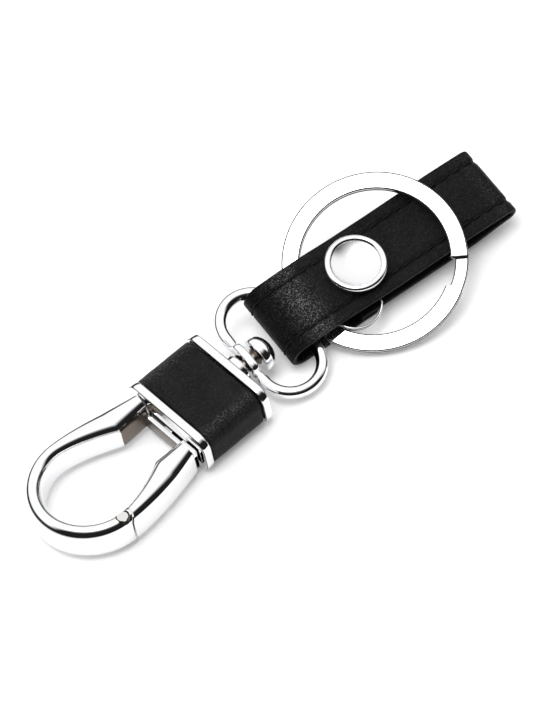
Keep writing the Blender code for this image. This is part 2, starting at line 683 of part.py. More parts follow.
def strap(pieces, leather, thread, frame):
    """Band and flap of the strap with their stitching, in the strap's frame."""
    path = band_path()
    band = moved(slab("strap_band", [ribbon(path, LEATHER)], STRAP_WIDTH, pieces), UPRIGHT)
    eye = rod("eye", EYE_RADIUS, TOP_MIDDLE - LEATHER, TOP_MIDDLE + LEATHER, pieces)
    boolean(band, shifted(eye, SNAP_X, 0, 0), "DIFFERENCE")
    eye = rod("eye", SOCKET_RADIUS + SEAT_GAP, TAIL_MIDDLE - LEATHER, TAIL_MIDDLE + LEATHER, pieces)
    boolean(band, shifted(eye, SNAP_X, 0, 0), "DIFFERENCE")
    outer = path[::-1]
    sewn = outer[1:-1]
    stitch("stitch_band_far", sewn, 1, band, pieces, thread, frame)
    stitch("stitch_band_near", sewn, -1, band, pieces, thread, frame)
    finish(band, leather, frame)

    path = flap_path()
    flap = moved(slab("strap_flap", [ribbon(path, LEATHER)], 2 * STRAP_WIDTH, pieces), UPRIGHT)
    boolean(flap, slab("flap_shape", [flap_outline()], STRAP_WIDTH, pieces), "INTERSECT")
    eye = rod("eye", EYE_RADIUS, FLAP_MIDDLE - LEATHER, FLAP_MIDDLE + LEATHER, pieces)
    boolean(flap, shifted(eye, SNAP_X, 0, 0), "DIFFERENCE")
    finish(flap, leather, frame)


def snap(pieces, chrome, brass, frame):
    """The pieces of the snap, in the strap's frame."""
    base = TOP_LEVEL + SEAT_GAP
    crown = base + CAP_HEIGHT
    dish = crown - CAP_DISH
    roll = CAP_RADIUS - CAP_ROLL
    under = dish - CAP_WALL
    inside = RIVET_FLANGE + SEAT_GAP
    profile = [(0, dish), (roll - CAP_ROLL, dish)]
    profile += arc((roll, crown - CAP_ROLL), CAP_ROLL, 5 * pi / 6, 0, 6)
    profile += [(CAP_RADIUS, base + CAP_ROLL), (CAP_RADIUS - CAP_ROLL / 2, base),
                (inside, base), (inside, under),
                (0, under)]
    finish(shifted(turned("snap_cap", profile, pieces, 48), SNAP_X, 0, 0), chrome, frame)
    socket_low = TAIL_MIDDLE - LEATHER / 2
    flange_top = base + RIVET_THICKNESS
    shank_end = socket_low + SOCKET_HEIGHT / 2
    profile = [(0, flange_top), (RIVET_FLANGE, flange_top), (RIVET_FLANGE, base), (RIVET_RADIUS, base),
               (RIVET_RADIUS, shank_end), (0, shank_end)]
    finish(shifted(turned("snap_rivet", profile, pieces, 24), SNAP_X, 0, 0), brass, frame)
    socket_top = socket_low + SOCKET_HEIGHT
    bore = RIVET_RADIUS + SEAT_GAP
    profile = [(bore, socket_top), (SOCKET_RADIUS, socket_top), (SOCKET_RADIUS, socket_low), (bore, socket_low),
               (bore, socket_top)]
    finish(shifted(turned("snap_socket", profile, pieces, 24), SNAP_X, 0, 0), brass, frame)
    flap_top = FLAP_MIDDLE + LEATHER / 2
    back_top = FLAP_MIDDLE - LEATHER / 2 - SEAT_GAP
    back_low = back_top - BACK_HEIGHT
    stud_low = back_top - BACK_RECESS + SNUG_GAP
    profile = [(0, flap_top + STUD_RISE), (STUD_RADIUS, flap_top + STUD_RISE),
               (STUD_RADIUS, stud_low), (0, stud_low)]
    finish(shifted(turned("snap_stud", profile, pieces, SMALL_STEPS), SNAP_X, 0, 0), brass, frame)
    recess = STUD_RADIUS + SEAT_GAP
    profile = [(0, back_top - BACK_RECESS), (recess, back_top - BACK_RECESS), (recess, back_top),
               (BACK_RADIUS, back_top), (BACK_RADIUS - BACK_HEIGHT / 2, back_low), (0, back_low)]
    finish(shifted(turned("snap_back_cap", profile, pieces, ROUND_STEPS), SNAP_X, 0, 0), brass, frame)


def key_ring_place():
    """The key ring's place in the strap's frame: through the left fold, over the band's far half."""
    tilt = asin((KEY_RING_HIGH - KEY_RING_LOW) / (2 * KEY_RING_RADIUS))
    x = KEY_RING_INSET + KEY_RING_RADIUS * cos(tilt)
    z = (KEY_RING_LOW + KEY_RING_HIGH) / 2
    return (Matrix.Translation((x, KEY_RING_Y, z)) @ Matrix.Rotation(KEY_RING_ROLL, 4, "X")
            @ Matrix.Rotation(-tilt, 4, "Y"))


def small_ring_place(ring_centre):
    """The small ring's place: beside the rivet and inside the key ring, with play to both."""
    rivet = Vector((SNAP_X, 0, 0))
    apart = ring_centre - rivet
    apart.z = 0
    from_rivet = SMALL_RING_RADIUS + RIVET_RADIUS + RING_PLAY
    from_ring = KEY_RING_RADIUS - KEY_RING_BAND - SMALL_RING_RADIUS - RING_PLAY
    turn = acos((from_rivet ** 2 - from_ring ** 2 + apart.length ** 2) / (2 * from_rivet * apart.length))
    angle = atan2(apart.y, apart.x) - turn
    level = TAIL_MIDDLE + LEATHER / 2 + SMALL_RING_LIFT
    return (Matrix.Translation((rivet.x + from_rivet * cos(angle), from_rivet * sin(angle), level))
            @ Matrix.Rotation(SMALL_RING_ROLL, 4, "X"))


def rings(pieces, chrome, steel, frame):
    """The two key rings, in the strap's frame."""
    matrix = key_ring_place()
    place = empty("key_ring_axis", pieces, matrix, frame)
    reach = KEY_RING_RADIUS - KEY_RING_BAND / 2
    flat = 2 * pi - KEY_RING_RAMP
    stations = [(flat * i / 40, -1 / 2) for i in range(41)]
    stations += [(flat + KEY_RING_RAMP * i / 4, i / 4 - 1 / 2) for i in range(1, 5)]
    stations += [(2 * pi + flat * i / 40, 1 / 2) for i in range(1, 41)]
    points = []
    for turn, rise in stations:
        angle = KEY_RING_SPLIT - turn
        points.append((reach * cos(angle), reach * sin(angle), KEY_RING_PITCH * rise))
    ring = strip("key_ring", points, KEY_RING_BAND, KEY_RING_TURN, pieces)
    inner = KEY_RING_RADIUS - KEY_RING_BAND
    start, end = KEY_RING_SPLIT, KEY_RING_SPLIT + KEY_RING_RAMP
    sector = arc((0, 0), inner + KEY_RING_NOTCH, start, end, 8)
    sector += arc((0, 0), inner - KEY_RING_NOTCH, end, start, 4)
    boolean(ring, slab("notch", [sector], KEY_RING_BAND, pieces), "DIFFERENCE")
    finish(ring, chrome, place)

    small = empty("small_ring_axis", pieces, small_ring_place(matrix.translation), frame)
    reach = SMALL_RING_RADIUS - SMALL_RING_WIRE / 2
    points = []
    for i in range(47):
        turn = i / 24
        angle = 2 * pi * turn
        points.append((reach * cos(angle), reach * sin(angle), SMALL_RING_PITCH * (turn - 1)))
    finish(wire("small_ring", points, SMALL_RING_WIRE, pieces, resolution=1), steel, small)


def main():
    clear_scene()
    pieces = new_collection("leather_carabiner_keychain")
    chrome = make_material("polished_chrome", (0.82, 0.82, 0.83), 1.0, 0.06)
    steel = make_material("polished_steel", (0.75, 0.75, 0.76), 1.0, 0.12)
    zinc = make_material("cast_zinc", (0.45, 0.45, 0.46), 1.0, 0.4)
    brass = make_material("nickelled_brass", (0.70, 0.69, 0.66), 1.0, 0.18)
    leather = make_material("black_leather", (0.022, 0.022, 0.024), 0.0, 0.55)
    thread = make_material("black_thread", (0.012, 0.012, 0.012), 0.0, 0.8)
    block(pieces, chrome, leather, zinc)
    hook(pieces, chrome, steel)
    play = swivel(pieces, chrome, steel)
    frame = empty("strap_axis", pieces,
                  Matrix.Translation((2 * OVAL_BEND, STRAP_SHIFT, 0))
                  @ Matrix.Rotation(STRAP_YAW, 4, "Z"), play)
    strap(pieces, leather, thread, frame)
    snap(pieces, chrome, brass, frame)
    rings(pieces, chrome, steel, frame)


main()
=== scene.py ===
"""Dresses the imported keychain: chrome, grained black leather and stitching, on a white studio floor.

Lengths are in millimetres and become metres where a mesh is put in its place.
"""
import json
import bpy
import bmesh
from math import asin, cos, exp, pi, radians, sin
from mathutils import Matrix, Vector
from mathutils.noise import noise


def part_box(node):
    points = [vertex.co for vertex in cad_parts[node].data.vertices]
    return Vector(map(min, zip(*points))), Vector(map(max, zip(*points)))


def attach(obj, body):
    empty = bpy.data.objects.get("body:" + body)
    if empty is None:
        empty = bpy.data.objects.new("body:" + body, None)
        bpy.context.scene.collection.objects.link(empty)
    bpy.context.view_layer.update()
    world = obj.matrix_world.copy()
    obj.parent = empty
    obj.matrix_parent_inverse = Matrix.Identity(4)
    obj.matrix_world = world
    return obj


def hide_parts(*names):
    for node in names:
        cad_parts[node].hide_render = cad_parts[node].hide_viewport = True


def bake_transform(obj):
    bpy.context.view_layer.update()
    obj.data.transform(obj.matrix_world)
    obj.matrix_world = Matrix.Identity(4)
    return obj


MM = 0.001
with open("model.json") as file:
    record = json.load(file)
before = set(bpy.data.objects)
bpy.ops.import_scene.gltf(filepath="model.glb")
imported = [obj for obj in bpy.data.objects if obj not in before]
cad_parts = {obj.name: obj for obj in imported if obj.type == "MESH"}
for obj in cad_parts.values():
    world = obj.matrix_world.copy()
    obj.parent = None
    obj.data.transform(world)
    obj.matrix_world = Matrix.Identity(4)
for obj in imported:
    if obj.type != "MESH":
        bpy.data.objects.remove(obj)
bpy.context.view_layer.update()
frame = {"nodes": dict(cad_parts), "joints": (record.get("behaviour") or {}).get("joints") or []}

# Camera: long lens, its right, up and back directions in the part's frame
RIGHT = Vector((0.736047, -0.662484, -0.139104))
UP = Vector((0.602194, 0.546951, 0.581556))
BACK = Vector((-0.309188, -0.51182, 0.801525))
CAMERA_AT = Vector((-287.29, -515.333, 807.73)) * MM
LENS = 270.0
SENSOR = 36.0

# Leather strap, in the strap's own frame, with the CAD part's sizes
WIDTH = 15.5
HALF_WIDTH = WIDTH / 2
LEATHER = 1.1
HALF_LEATHER = LEATHER / 2
FOLD_RADIUS = 3.35
FOLD_X = -2.0
STRAP_END = 47.2
TOP_LEVEL = 3.45
RISE_LEVEL = 3.85
END_LEVEL = 3.7
RING_GAP = 2.6
LAYER_GAP = 0.3
END_GAP = 1.3
SNAP_X = 15.1
CREST = 20.0
BAND_TAIL = 4.2
TIP_X = 11.6
TIP_RADIUS = HALF_WIDTH + 0.5
TIP_END_HALF = 0.6
FLAP_START = 1.2
STITCH_EDGE = 2.65
STITCH_Y = HALF_WIDTH - STITCH_EDGE

FOLD_MIDDLE = FOLD_RADIUS - HALF_LEATHER
TOP_MIDDLE = TOP_LEVEL - HALF_LEATHER
TAIL_MIDDLE = TOP_MIDDLE - LEATHER - RING_GAP
FLAP_MIDDLE = TAIL_MIDDLE - LEATHER - LAYER_GAP
END_RADIUS = (END_GAP + LEATHER) / 2
END_MIDDLE = END_LEVEL - HALF_LEATHER

# Heights of the band's upper face along it: swelling out of the fold, held down by the cap, rising again
CROWN = ((0.5, 3.45), (3.0, 3.72), (5.5, 3.86), (8.0, 3.8), (10.5, 3.62), (13.0, 3.48),
         (SNAP_X, TOP_LEVEL), (18.5, 3.4), (22.0, 3.42), (26.0, 3.55), (30.0, 3.74),
         (34.0, RISE_LEVEL), (38.0, 3.88))

joint_at = {joint["name"]: joint for joint in frame["joints"]}


def frame_along(across):
    """Axes with Y across, X level along the part and Z up, as a 4 x 4 matrix and as the X axis."""
    up = Vector((0, -across.z, across.y)).normalized()
    along = across.cross(up)
    return Matrix((along, across, up)).transposed().to_4x4(), along


def joint_place(name):
    return Vector(joint_at[name]["pos_m"])


def strap_matrix():
    """The strap's frame: origin on the wire it hangs on, X along it, Z up through its layers."""
    place, _ = frame_along(Vector(joint_at["flap_open"]["axis"]).normalized())
    place.translation = joint_place("strap_swing")
    return place


STRAP = strap_matrix()


# Materials

def new_material(name):
    material = bpy.data.materials.new(name)
    material.use_nodes = True
    tree = material.node_tree
    return material, tree, tree.nodes["Principled BSDF"]


def link(tree, a, b):
    tree.links.new(a, b)


def node(tree, kind, **values):
    """New node; each value is set as a property, or else as the input of that name."""
    new = tree.nodes.new(kind)
    for key, value in values.items():
        if hasattr(new, key):
            setattr(new, key, value)
        else:
            new.inputs[key.replace("_", " ")].default_value = value
    return new


def texture(tree, where, kind, **values):
    new = node(tree, kind, **values)
    link(tree, where, new.inputs["Vector"])
    return new


def fill(tree, socket, term):
    """Set an input from a plain value or from another node's output."""
    if isinstance(term, (float, tuple)):
        socket.default_value = term
    else:
        link(tree, term, socket)


def math(tree, operation, *terms):
    new = node(tree, "ShaderNodeMath", operation=operation)
    for socket, term in zip(new.inputs, terms):
        fill(tree, socket, term)
    return new.outputs["Value"]


def mixed(tree, share, first, second):
    new = node(tree, "ShaderNodeMixRGB")
    for key, term in (("Fac", share), ("Color1", first), ("Color2", second)):
        fill(tree, new.inputs[key], term)
    return new.outputs["Color"]


def ramp(tree, source, stops):
    new = tree.nodes.new("ShaderNodeValToRGB")
    elements = new.color_ramp.elements
    while len(elements) < len(stops):
        elements.new(0.5)
    for element, (place, value) in zip(elements, stops):
        element.position = place
        element.color = (value, value, value, 1)
    link(tree, source, new.inputs["Fac"])
    return new.outputs["Color"]


def attribute(tree, name):
    return node(tree, "ShaderNodeAttribute", attribute_name=name).outputs["Fac"]


def bumped(tree, shader, height, strength, distance):
    bump = node(tree, "ShaderNodeBump", Strength=strength, Distance=distance)
    link(tree, height, bump.inputs["Height"])
    link(tree, bump.outputs["Normal"], shader.inputs["Normal"])


def object_coordinates(tree):
    return node(tree, "ShaderNodeTexCoord").outputs["Object"]


def chrome_material(name, colour, rough, rough_far):
    """Mirror plating with faint handling haze and a very slight wave."""
    material, tree, shader = new_material(name)
    shader.inputs["Base Color"].default_value = (*colour, 1)
    shader.inputs["Metallic"].default_value = 1.0
    where = object_coordinates(tree)
    haze = texture(tree, where, "ShaderNodeTexNoise", Scale=140.0, Detail=3.0).outputs["Fac"]
    link(tree, ramp(tree, haze, ((0.35, rough), (0.75, rough_far))), shader.inputs["Roughness"])
    wave = texture(tree, where, "ShaderNodeTexNoise", Scale=260.0, Detail=1.0).outputs["Fac"]
    bumped(tree, shader, wave, 0.012, 0.0002)
    return material


def leather_material(name, base, grain_scale, grain_strength):
    """Black leather: pebbled grain and pores, a few pale flecks all over and many where a point attribute
    paints sheen on the bends, and painted shade where the fold attribute says.
    """
    material, tree, shader = new_material(name)
    where = object_coordinates(tree)
    twist = texture(tree, where, "ShaderNodeTexNoise", Scale=grain_scale * 0.6, Detail=2.0)
    twisted = mixed(tree, 0.0012, where, twist.outputs["Color"])
    cells = texture(tree, twisted, "ShaderNodeTexVoronoi", Scale=grain_scale, Randomness=1.0,
                    feature="DISTANCE_TO_EDGE")
    crease = ramp(tree, cells.outputs["Distance"], ((0.0, 0.0), (0.12, 1.0)))
    pores = texture(tree, where, "ShaderNodeTexNoise", Scale=grain_scale * 2.6, Detail=4.0,
                    Roughness=0.6).outputs["Fac"]
    bumped(tree, shader, math(tree, "MULTIPLY_ADD", crease, 0.7, pores), grain_strength, 0.00012)

    broad = texture(tree, where, "ShaderNodeTexNoise", Scale=180.0, Detail=3.0).outputs["Fac"]
    patches = ramp(tree, broad, ((0.3, base * 0.7), (0.7, base * 1.3)))
    # painted shade: the fold attribute darkens the fold and the stitched grooves to near black
    tone = mixed(tree, attribute(tree, "fold"), patches, (0.0008, 0.0008, 0.0008, 1))
    speck = texture(tree, where, "ShaderNodeTexNoise", Scale=grain_scale * 1.9, Detail=3.0,
                    Roughness=0.7).outputs["Fac"]
    fleck = ramp(tree, speck, ((0.5, 0.0), (0.64, 1.0)))
    # painted sheen: pale flecks crowd where the attribute marks the bends; the few elsewhere are grain
    amount = math(tree, "ADD", attribute(tree, "painted_sheen"), 0.1)
    pale = math(tree, "MULTIPLY", amount, fleck)
    link(tree, mixed(tree, pale, tone, (0.19, 0.19, 0.195, 1)), shader.inputs["Base Color"])
    link(tree, ramp(tree, pores, ((0.3, 0.26), (0.7, 0.5))), shader.inputs["Roughness"])
    shader.inputs["Specular IOR Level"].default_value = 0.07
    return material


def thread_material():
    material, tree, shader = new_material("waxed_thread")
    shader.inputs["Base Color"].default_value = (0.003, 0.003, 0.003, 1)
    shader.inputs["Specular IOR Level"].default_value = 0.2
    ply = texture(tree, object_coordinates(tree), "ShaderNodeTexWave", Scale=900.0,
                  Distortion=2.0).outputs["Fac"]
    bumped(tree, shader, ply, 0.5, 0.00005)
    link(tree, ramp(tree, ply, ((0.2, 0.45), (0.8, 0.7))), shader.inputs["Roughness"])
    return material


CHROME = chrome_material("mirror_chrome", (0.86, 0.86, 0.87), 0.035, 0.07)
SATIN = chrome_material("satin_dish", (0.84, 0.84, 0.85), 0.2, 0.3)
STEEL = chrome_material("bright_steel", (0.72, 0.71, 0.70), 0.06, 0.14)
NICKEL = chrome_material("nickel_plate", (0.70, 0.68, 0.65), 0.12, 0.22)
# Darker, rougher chrome: painted shade in the throat, the recesses round the pin, the post's neck and the
# oval ring's bore
PAINTED_SHADE = chrome_material("painted_shade_chrome", (0.16, 0.135, 0.115), 0.22, 0.4)
# Near-black chrome: painted dark reflection along the plates' rounded edges and along the flat ring's edges
# and margins
DARK_REFLECTION_EDGE = chrome_material("painted_edge_reflection", (0.07, 0.07, 0.072), 0.2, 0.35)
CAST = chrome_material("cast_core", (0.42, 0.42, 0.43), 0.35, 0.5)
STRAP_LEATHER = leather_material("strap_leather", 0.008, 1900.0, 1.0)
SLEEVE_LEATHER = leather_material("sleeve_leather", 0.009, 2300.0, 0.6)
THREAD = thread_material()

# Finish of the CAD's own nodes; only those that nothing below replaces are seen
FINISHES = {
    CHROME: ("end_plate_hook", "end_plate_swivel", "hook_frame", "gate", "swivel_ring", "key_ring",
             "snap_cap", "swivel_collar", "swivel_post"),
    STEEL: ("gate_pin", "gate_spring", "small_ring"),
    NICKEL: ("snap_rivet", "snap_socket", "snap_stud", "snap_back_cap"),
    CAST: ("core_block",),
}
for material, names in FINISHES.items():
    for name in names:
        for place in frame["nodes"][name].material_slots:
            place.material = material


# Mesh tools

def in_scene(name, data):
    obj = bpy.data.objects.new(name, data)
    bpy.context.scene.collection.objects.link(obj)
    return obj


def mesh_of(name, work):
    mesh = bpy.data.meshes.new(name)
    work.to_mesh(mesh)
    work.free()
    return mesh


def skin(work, rows, closed=False):
    """Faces through rows of vertices, outward; the end rows are joined or else capped."""
    count = len(rows[0])
    pairs = list(zip(rows, rows[1:])) + ([(rows[-1], rows[0])] if closed else [])
    for a, b in pairs:
        for i in range(count):
            work.faces.new((a[i], a[(i + 1) % count], b[(i + 1) % count], b[i]))
    if not closed:
        work.faces.new(rows[0])
        work.faces.new(rows[-1][::-1])


def skinned(name, rows, closed=False):
    """Mesh of the skin through rows of points."""
    work = bmesh.new()
    skin(work, [[work.verts.new(point) for point in row] for row in rows], closed)
    bmesh.ops.recalc_face_normals(work, faces=work.faces)
    return mesh_of(name, work)


def loft(name, rows, closed=False):
    return in_scene(name, skinned(name, rows, closed))


def lathe(name, profile, steps=72):
    """Profile of (radius, height) turned about Z."""
    work = bmesh.new()
    rings = []
    for radius, height in profile:
        if radius < 1e-6:
            rings.append([work.verts.new((0, 0, height))])
        else:
            turns = [2 * pi * i / steps for i in range(steps)]
            rings.append([work.verts.new((radius * cos(a), radius * sin(a), height)) for a in turns])
    for a, b in zip(rings, rings[1:]):
        for i in range(steps):
            corners = [a[i % len(a)], a[(i + 1) % len(a)], b[(i + 1) % len(b)], b[i % len(b)]]
            corners = list(dict.fromkeys(corners))
            if len(corners) > 2:
                work.faces.new(corners)
    bmesh.ops.recalc_face_normals(work, faces=work.faces)
    return in_scene(name, mesh_of(name, work))


def rod(centre, radius, low, high, steps=48):
    """Solid for cutting or joining: a cylinder along Z."""
    work = bmesh.new()
    bmesh.ops.create_cone(work, cap_ends=True, segments=steps, radius1=radius, radius2=radius,
                          depth=high - low)
    bmesh.ops.translate(work, verts=work.verts, vec=(centre[0], centre[1], (low + high) / 2))
    return in_scene("rod", mesh_of("rod", work))


def block(low, high, round_off=0.0):
    """Solid for cutting or joining: a box between two corners."""
    work = bmesh.new()
    bmesh.ops.create_cube(work, size=1.0)
    low, high = Vector(low), Vector(high)
    for vert in work.verts:
        vert.co = (low + high) / 2 + vert.co * (high - low)
    if round_off:
        bmesh.ops.bevel(work, geom=list(work.edges), offset=round_off, segments=3, profile=0.5,
                        affect="EDGES")
    return in_scene("block", mesh_of("block", work))


def cut(obj, tool, operation="DIFFERENCE"):
    modifier = obj.modifiers.new("cut", "BOOLEAN")
    modifier.operation = operation
    modifier.object = tool
    modifier.solver = "EXACT"
    graph = bpy.context.evaluated_depsgraph_get()
    mesh = bpy.data.meshes.new_from_object(obj.evaluated_get(graph))
    obj.modifiers.clear()
    obj.data = mesh
    bpy.data.objects.remove(tool)
    return obj


def joined(obj, *others):
    """The object with the others' meshes added to its own."""
    work = bmesh.new()
    for one in (obj,) + others:
        work.from_mesh(one.data)
    work.to_mesh(obj.data)
    work.free()
    for other in others:
        bpy.data.objects.remove(other)
    return obj


def eased(start, end, steps):
    """Points after the start that run level out of it and level into the end."""
    points = []
    for i in range(1, steps + 1):
        share = i / steps
        ease = share * share * (3 - 2 * share)
        points.append((start[0] + (end[0] - start[0]) * share, start[1] + (end[1] - start[1]) * ease))
    return points


def arc(centre, radius, start, end, steps):
    points = []
    for i in range(steps + 1):
        angle = start + (end - start) * i / steps
        points.append((centre[0] + radius * cos(angle), centre[1] + radius * sin(angle)))
    return points


CORNERS = ((1, 1), (-1, 1), (-1, -1), (1, -1))


def rounded_corner(i, across, up, radius, steps):
    """Arc round a corner of a rounded box whose corner arcs have their centres at +-across, +-up."""
    side, level = CORNERS[i]
    return arc((side * across, level * up), radius, i * pi / 2, (i + 1) * pi / 2, steps)


def quarter(steps, start=0):
    """Angles from 0 to a right angle."""
    return [pi / 2 * k / steps for k in range(start, steps + 1)]


def toward(angle):
    return Vector((cos(angle), sin(angle)))


def bell(value, middle, width):
    """Smooth hump of height 1 round the middle."""
    return exp(-((value - middle) / width) ** 2)


def resampled(path, step):
    """The path as points about one step apart, each with its direction."""
    lengths = [0.0]
    for a, b in zip(path, path[1:]):
        lengths.append(lengths[-1] + (Vector(b) - Vector(a)).length)
    total = lengths[-1]
    count = max(2, round(total / step))
    points = []
    piece = 0
    for i in range(count + 1):
        wanted = total * i / count
        while piece < len(path) - 2 and lengths[piece + 1] < wanted:
            piece += 1
        share = (wanted - lengths[piece]) / (lengths[piece + 1] - lengths[piece])
        points.append(Vector(path[piece]).lerp(Vector(path[piece + 1]), share))
    result = []
    for i, point in enumerate(points):
        along = (points[min(i + 1, count)] - points[max(i - 1, 0)]).normalized()
        result.append((point, along))
    return result, total


def smoothed(path):
    """The path with its corners eased, its ends kept."""
    middle = [((a[0] + 2 * b[0] + c[0]) / 4, (a[1] + 2 * b[1] + c[1]) / 4)
              for a, b, c in zip(path, path[1:], path[2:])]
    return [path[0]] + middle + [path[-1]]


def stands_for(obj, slot, *nodes):
    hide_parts(*nodes)


# Leather and thread

def band_path():
    """Middle line of the band, from its underside beside the left fold to the end of its tail."""
    path = [(FOLD_X + FLAP_START, -FOLD_MIDDLE)]
    path += arc((FOLD_X, 0), FOLD_MIDDLE, -pi / 2, -3 * pi / 2, 12)
    path += [(x, level - HALF_LEATHER) for x, level in CROWN]
    end_x = STRAP_END - HALF_LEATHER - END_RADIUS
    path += eased(path[-1], (end_x, END_MIDDLE), 4)
    path += arc((end_x, END_MIDDLE - END_RADIUS), END_RADIUS, pi / 2, -pi / 2, 10)[1:]
    path += eased((end_x, END_MIDDLE - 2 * END_RADIUS), (SNAP_X + CREST, TAIL_MIDDLE), 4)
    path += [(SNAP_X, TAIL_MIDDLE), (SNAP_X - BAND_TAIL, TAIL_MIDDLE)]
    return path


def flap_path():
    """Middle line of the flap, from the left fold to its tip."""
    path = [(FOLD_X + FLAP_START + 0.02, -FOLD_MIDDLE)]
    path += eased(path[0], (SNAP_X, FLAP_MIDDLE), 5)
    path += [(TIP_X + TIP_RADIUS, FLAP_MIDDLE)]
    return path


def band_half(x):
    """Half width of the band at x: the same all along."""
    return HALF_WIDTH


def flap_half(x):
    """Half width of the flap at x: straight, then the rounded tongue."""
    reach = x - TIP_X
    if reach <= 0:
        return HALF_WIDTH
    inside = max(0.0, 1 - (reach / TIP_RADIUS) ** 2) ** 0.5
    return max(TIP_END_HALF, min(HALF_WIDTH, TIP_RADIUS * inside))


STRAP_STEP = 0.45
EDGE_ROUND = 0.32
DENT_DEPTH = 0.3
DENT_REACH = 0.75
OUTER_FACE = 0.3
EDGE_WAVE = 0.03
EDGE_WAVE_FROM = 4


def strap_section():
    """Points (across, through) round the strap's section: rounded edges, close rows near the stitching."""
    flat = [HALF_WIDTH - EDGE_ROUND, HALF_WIDTH - 0.9, STITCH_Y + DENT_REACH, STITCH_Y + 0.35,
            STITCH_Y, STITCH_Y - 0.35, STITCH_Y - DENT_REACH, 3.2, 1.6, 0.0]
    row = flat + [-value for value in flat[-2::-1]]
    top = [(y, HALF_LEATHER) for y in row]
    left = [(EDGE_ROUND - HALF_WIDTH - EDGE_ROUND * sin(a), HALF_LEATHER - EDGE_ROUND + EDGE_ROUND * cos(a))
            for a in quarter(3, 1)]
    left += [(-HALF_WIDTH, 0.0)]
    left += [(y, -z) for y, z in left[-2::-1]]
    bottom = [(y, -HALF_LEATHER) for y in row[::-1]]
    right = [(-y, z) for y, z in left[::-1]]
    return top + left + bottom + right


def strap_mesh(name, path, half_at, outer_side, stitched):
    """Closed leather strip along the path, dented along its sewn lines on its outer face."""
    rows = []
    for point, along in resampled(smoothed(path), STRAP_STEP)[0]:
        normal = Vector((-along.y, along.x)) * outer_side
        row = []
        for y, z in strap_section():
            depth = z
            if stitched and z > OUTER_FACE:
                depth -= DENT_DEPTH * max(0.0, 1 - abs(abs(y) - STITCH_Y) / DENT_REACH)
            if abs(y) > EDGE_WAVE_FROM and abs(z) > OUTER_FACE:
                depth += EDGE_WAVE * noise(Vector((point.x * 0.35, y * 0.5, z)))
            spot = point + normal * depth
            wide = y * half_at(point.x) / HALF_WIDTH
            row.append(STRAP @ (Vector((spot.x, wide, spot.y)) * MM))
        rows.append(row)
    mesh = skinned(name, rows)
    paint_sheen_and_shade(mesh, stitched)
    return mesh


# Where along the strap pale flecks paint sheen on the bends, and over what length
BEND_X, BEND_REACH = 2.4, 2.6
END_X, END_REACH, END_SHARE = 44.6, 1.2, 0.15
# Where the painted shade of the fold stops, over what length it fades, and the width and darkness of the
# painted shade in the grooves
FOLD_LIT_X, FOLD_FADE = 0.8, 2.2
GROOVE_REACH, GROOVE_DARK = 0.4, 0.9


def paint_sheen_and_shade(mesh, stitched):
    """Painted sheen as pale flecks on the bends over the oval ring and at the far end, painted shade in the
    fold and the stitched grooves.
    """
    inverse = STRAP.inverted()
    sheen = mesh.attributes.new("painted_sheen", "FLOAT", "POINT")
    shade = mesh.attributes.new("fold", "FLOAT", "POINT")
    for i, vert in enumerate(mesh.vertices):
        x, y, _ = (inverse @ vert.co) / MM
        groove = bell(abs(y), STITCH_Y, GROOVE_REACH) if stitched else 0.0
        bends = bell(x, BEND_X, BEND_REACH) + END_SHARE * bell(x, END_X, END_REACH)
        sheen.data[i].value = bends * (1 - groove)
        inside = max(0.0, (FOLD_LIT_X - x) / FOLD_FADE)
        shade.data[i].value = min(1.0, inside + GROOVE_DARK * groove)


def build_strap():
    band = in_scene("leather_band", strap_mesh("leather_band", band_path(), band_half, 1, True))
    band.data.materials.append(STRAP_LEATHER)
    band.data.shade_smooth()
    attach(band, "strap")
    stands_for(band, "black_leather", "strap_band")
    flap = in_scene("leather_flap", strap_mesh("leather_flap", flap_path(), flap_half, -1, False))
    flap.data.materials.append(STRAP_LEATHER)
    flap.data.shade_smooth()
    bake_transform(flap)
    stands_for(flap, "black_leather", "strap_flap")


STITCH_STEP = 0.1
STITCH_PITCH = 2.75
STITCH_LENGTH = 2.1
STITCH_START = 1.0
STITCH_STOP = 8.0
STITCH_SUNK = 0.33
STITCH_BULGE = 0.24
STITCH_SLANT = 0.1
THREAD_RADIUS = 0.2
THREAD_THIN = 0.55
THREAD_ROWS = 6
THREAD_SIDES = 8


def stitch_rows(stations, total, side, start):
    """Points round one stitch: out of the leather, over, and back in, thinner at its ends."""
    rows = []
    for k in range(THREAD_ROWS + 1):
        share = k / THREAD_ROWS
        bulge = sin(pi * share)
        index = round((start + STITCH_LENGTH * share) / total * (len(stations) - 1))
        point, along = stations[min(len(stations) - 1, index)]
        normal = Vector((-along.y, along.x))
        spot = point + normal * (HALF_LEATHER - STITCH_SUNK + STITCH_BULGE * bulge)
        y = side * STITCH_Y + STITCH_SLANT * (share - 0.5)
        size = THREAD_RADIUS * (THREAD_THIN + (1 - THREAD_THIN) * bulge)
        row = []
        for j in range(THREAD_SIDES):
            angle = 2 * pi * j / THREAD_SIDES
            up = spot + normal * (size * sin(angle))
            row.append(STRAP @ (Vector((up.x, y + size * cos(angle), up.y)) * MM))
        rows.append(row)
    return rows


def build_stitches():
    """Rows of slanted stitches along the band's outer face."""
    stations, total = resampled(smoothed(band_path()), STITCH_STEP)
    work = bmesh.new()
    for side in (1, -1):
        start = STITCH_START
        while start < total - STITCH_STOP:
            rows = stitch_rows(stations, total, side, start)
            skin(work, [[work.verts.new(point) for point in row] for row in rows])
            start += STITCH_PITCH
    bmesh.ops.recalc_face_normals(work, faces=work.faces)
    obj = in_scene("stitches", mesh_of("stitches", work))
    obj.data.materials.append(THREAD)
    obj.data.shade_smooth()
    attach(obj, "strap")
    stands_for(obj, "black_thread", "stitch_band_near", "stitch_band_far")


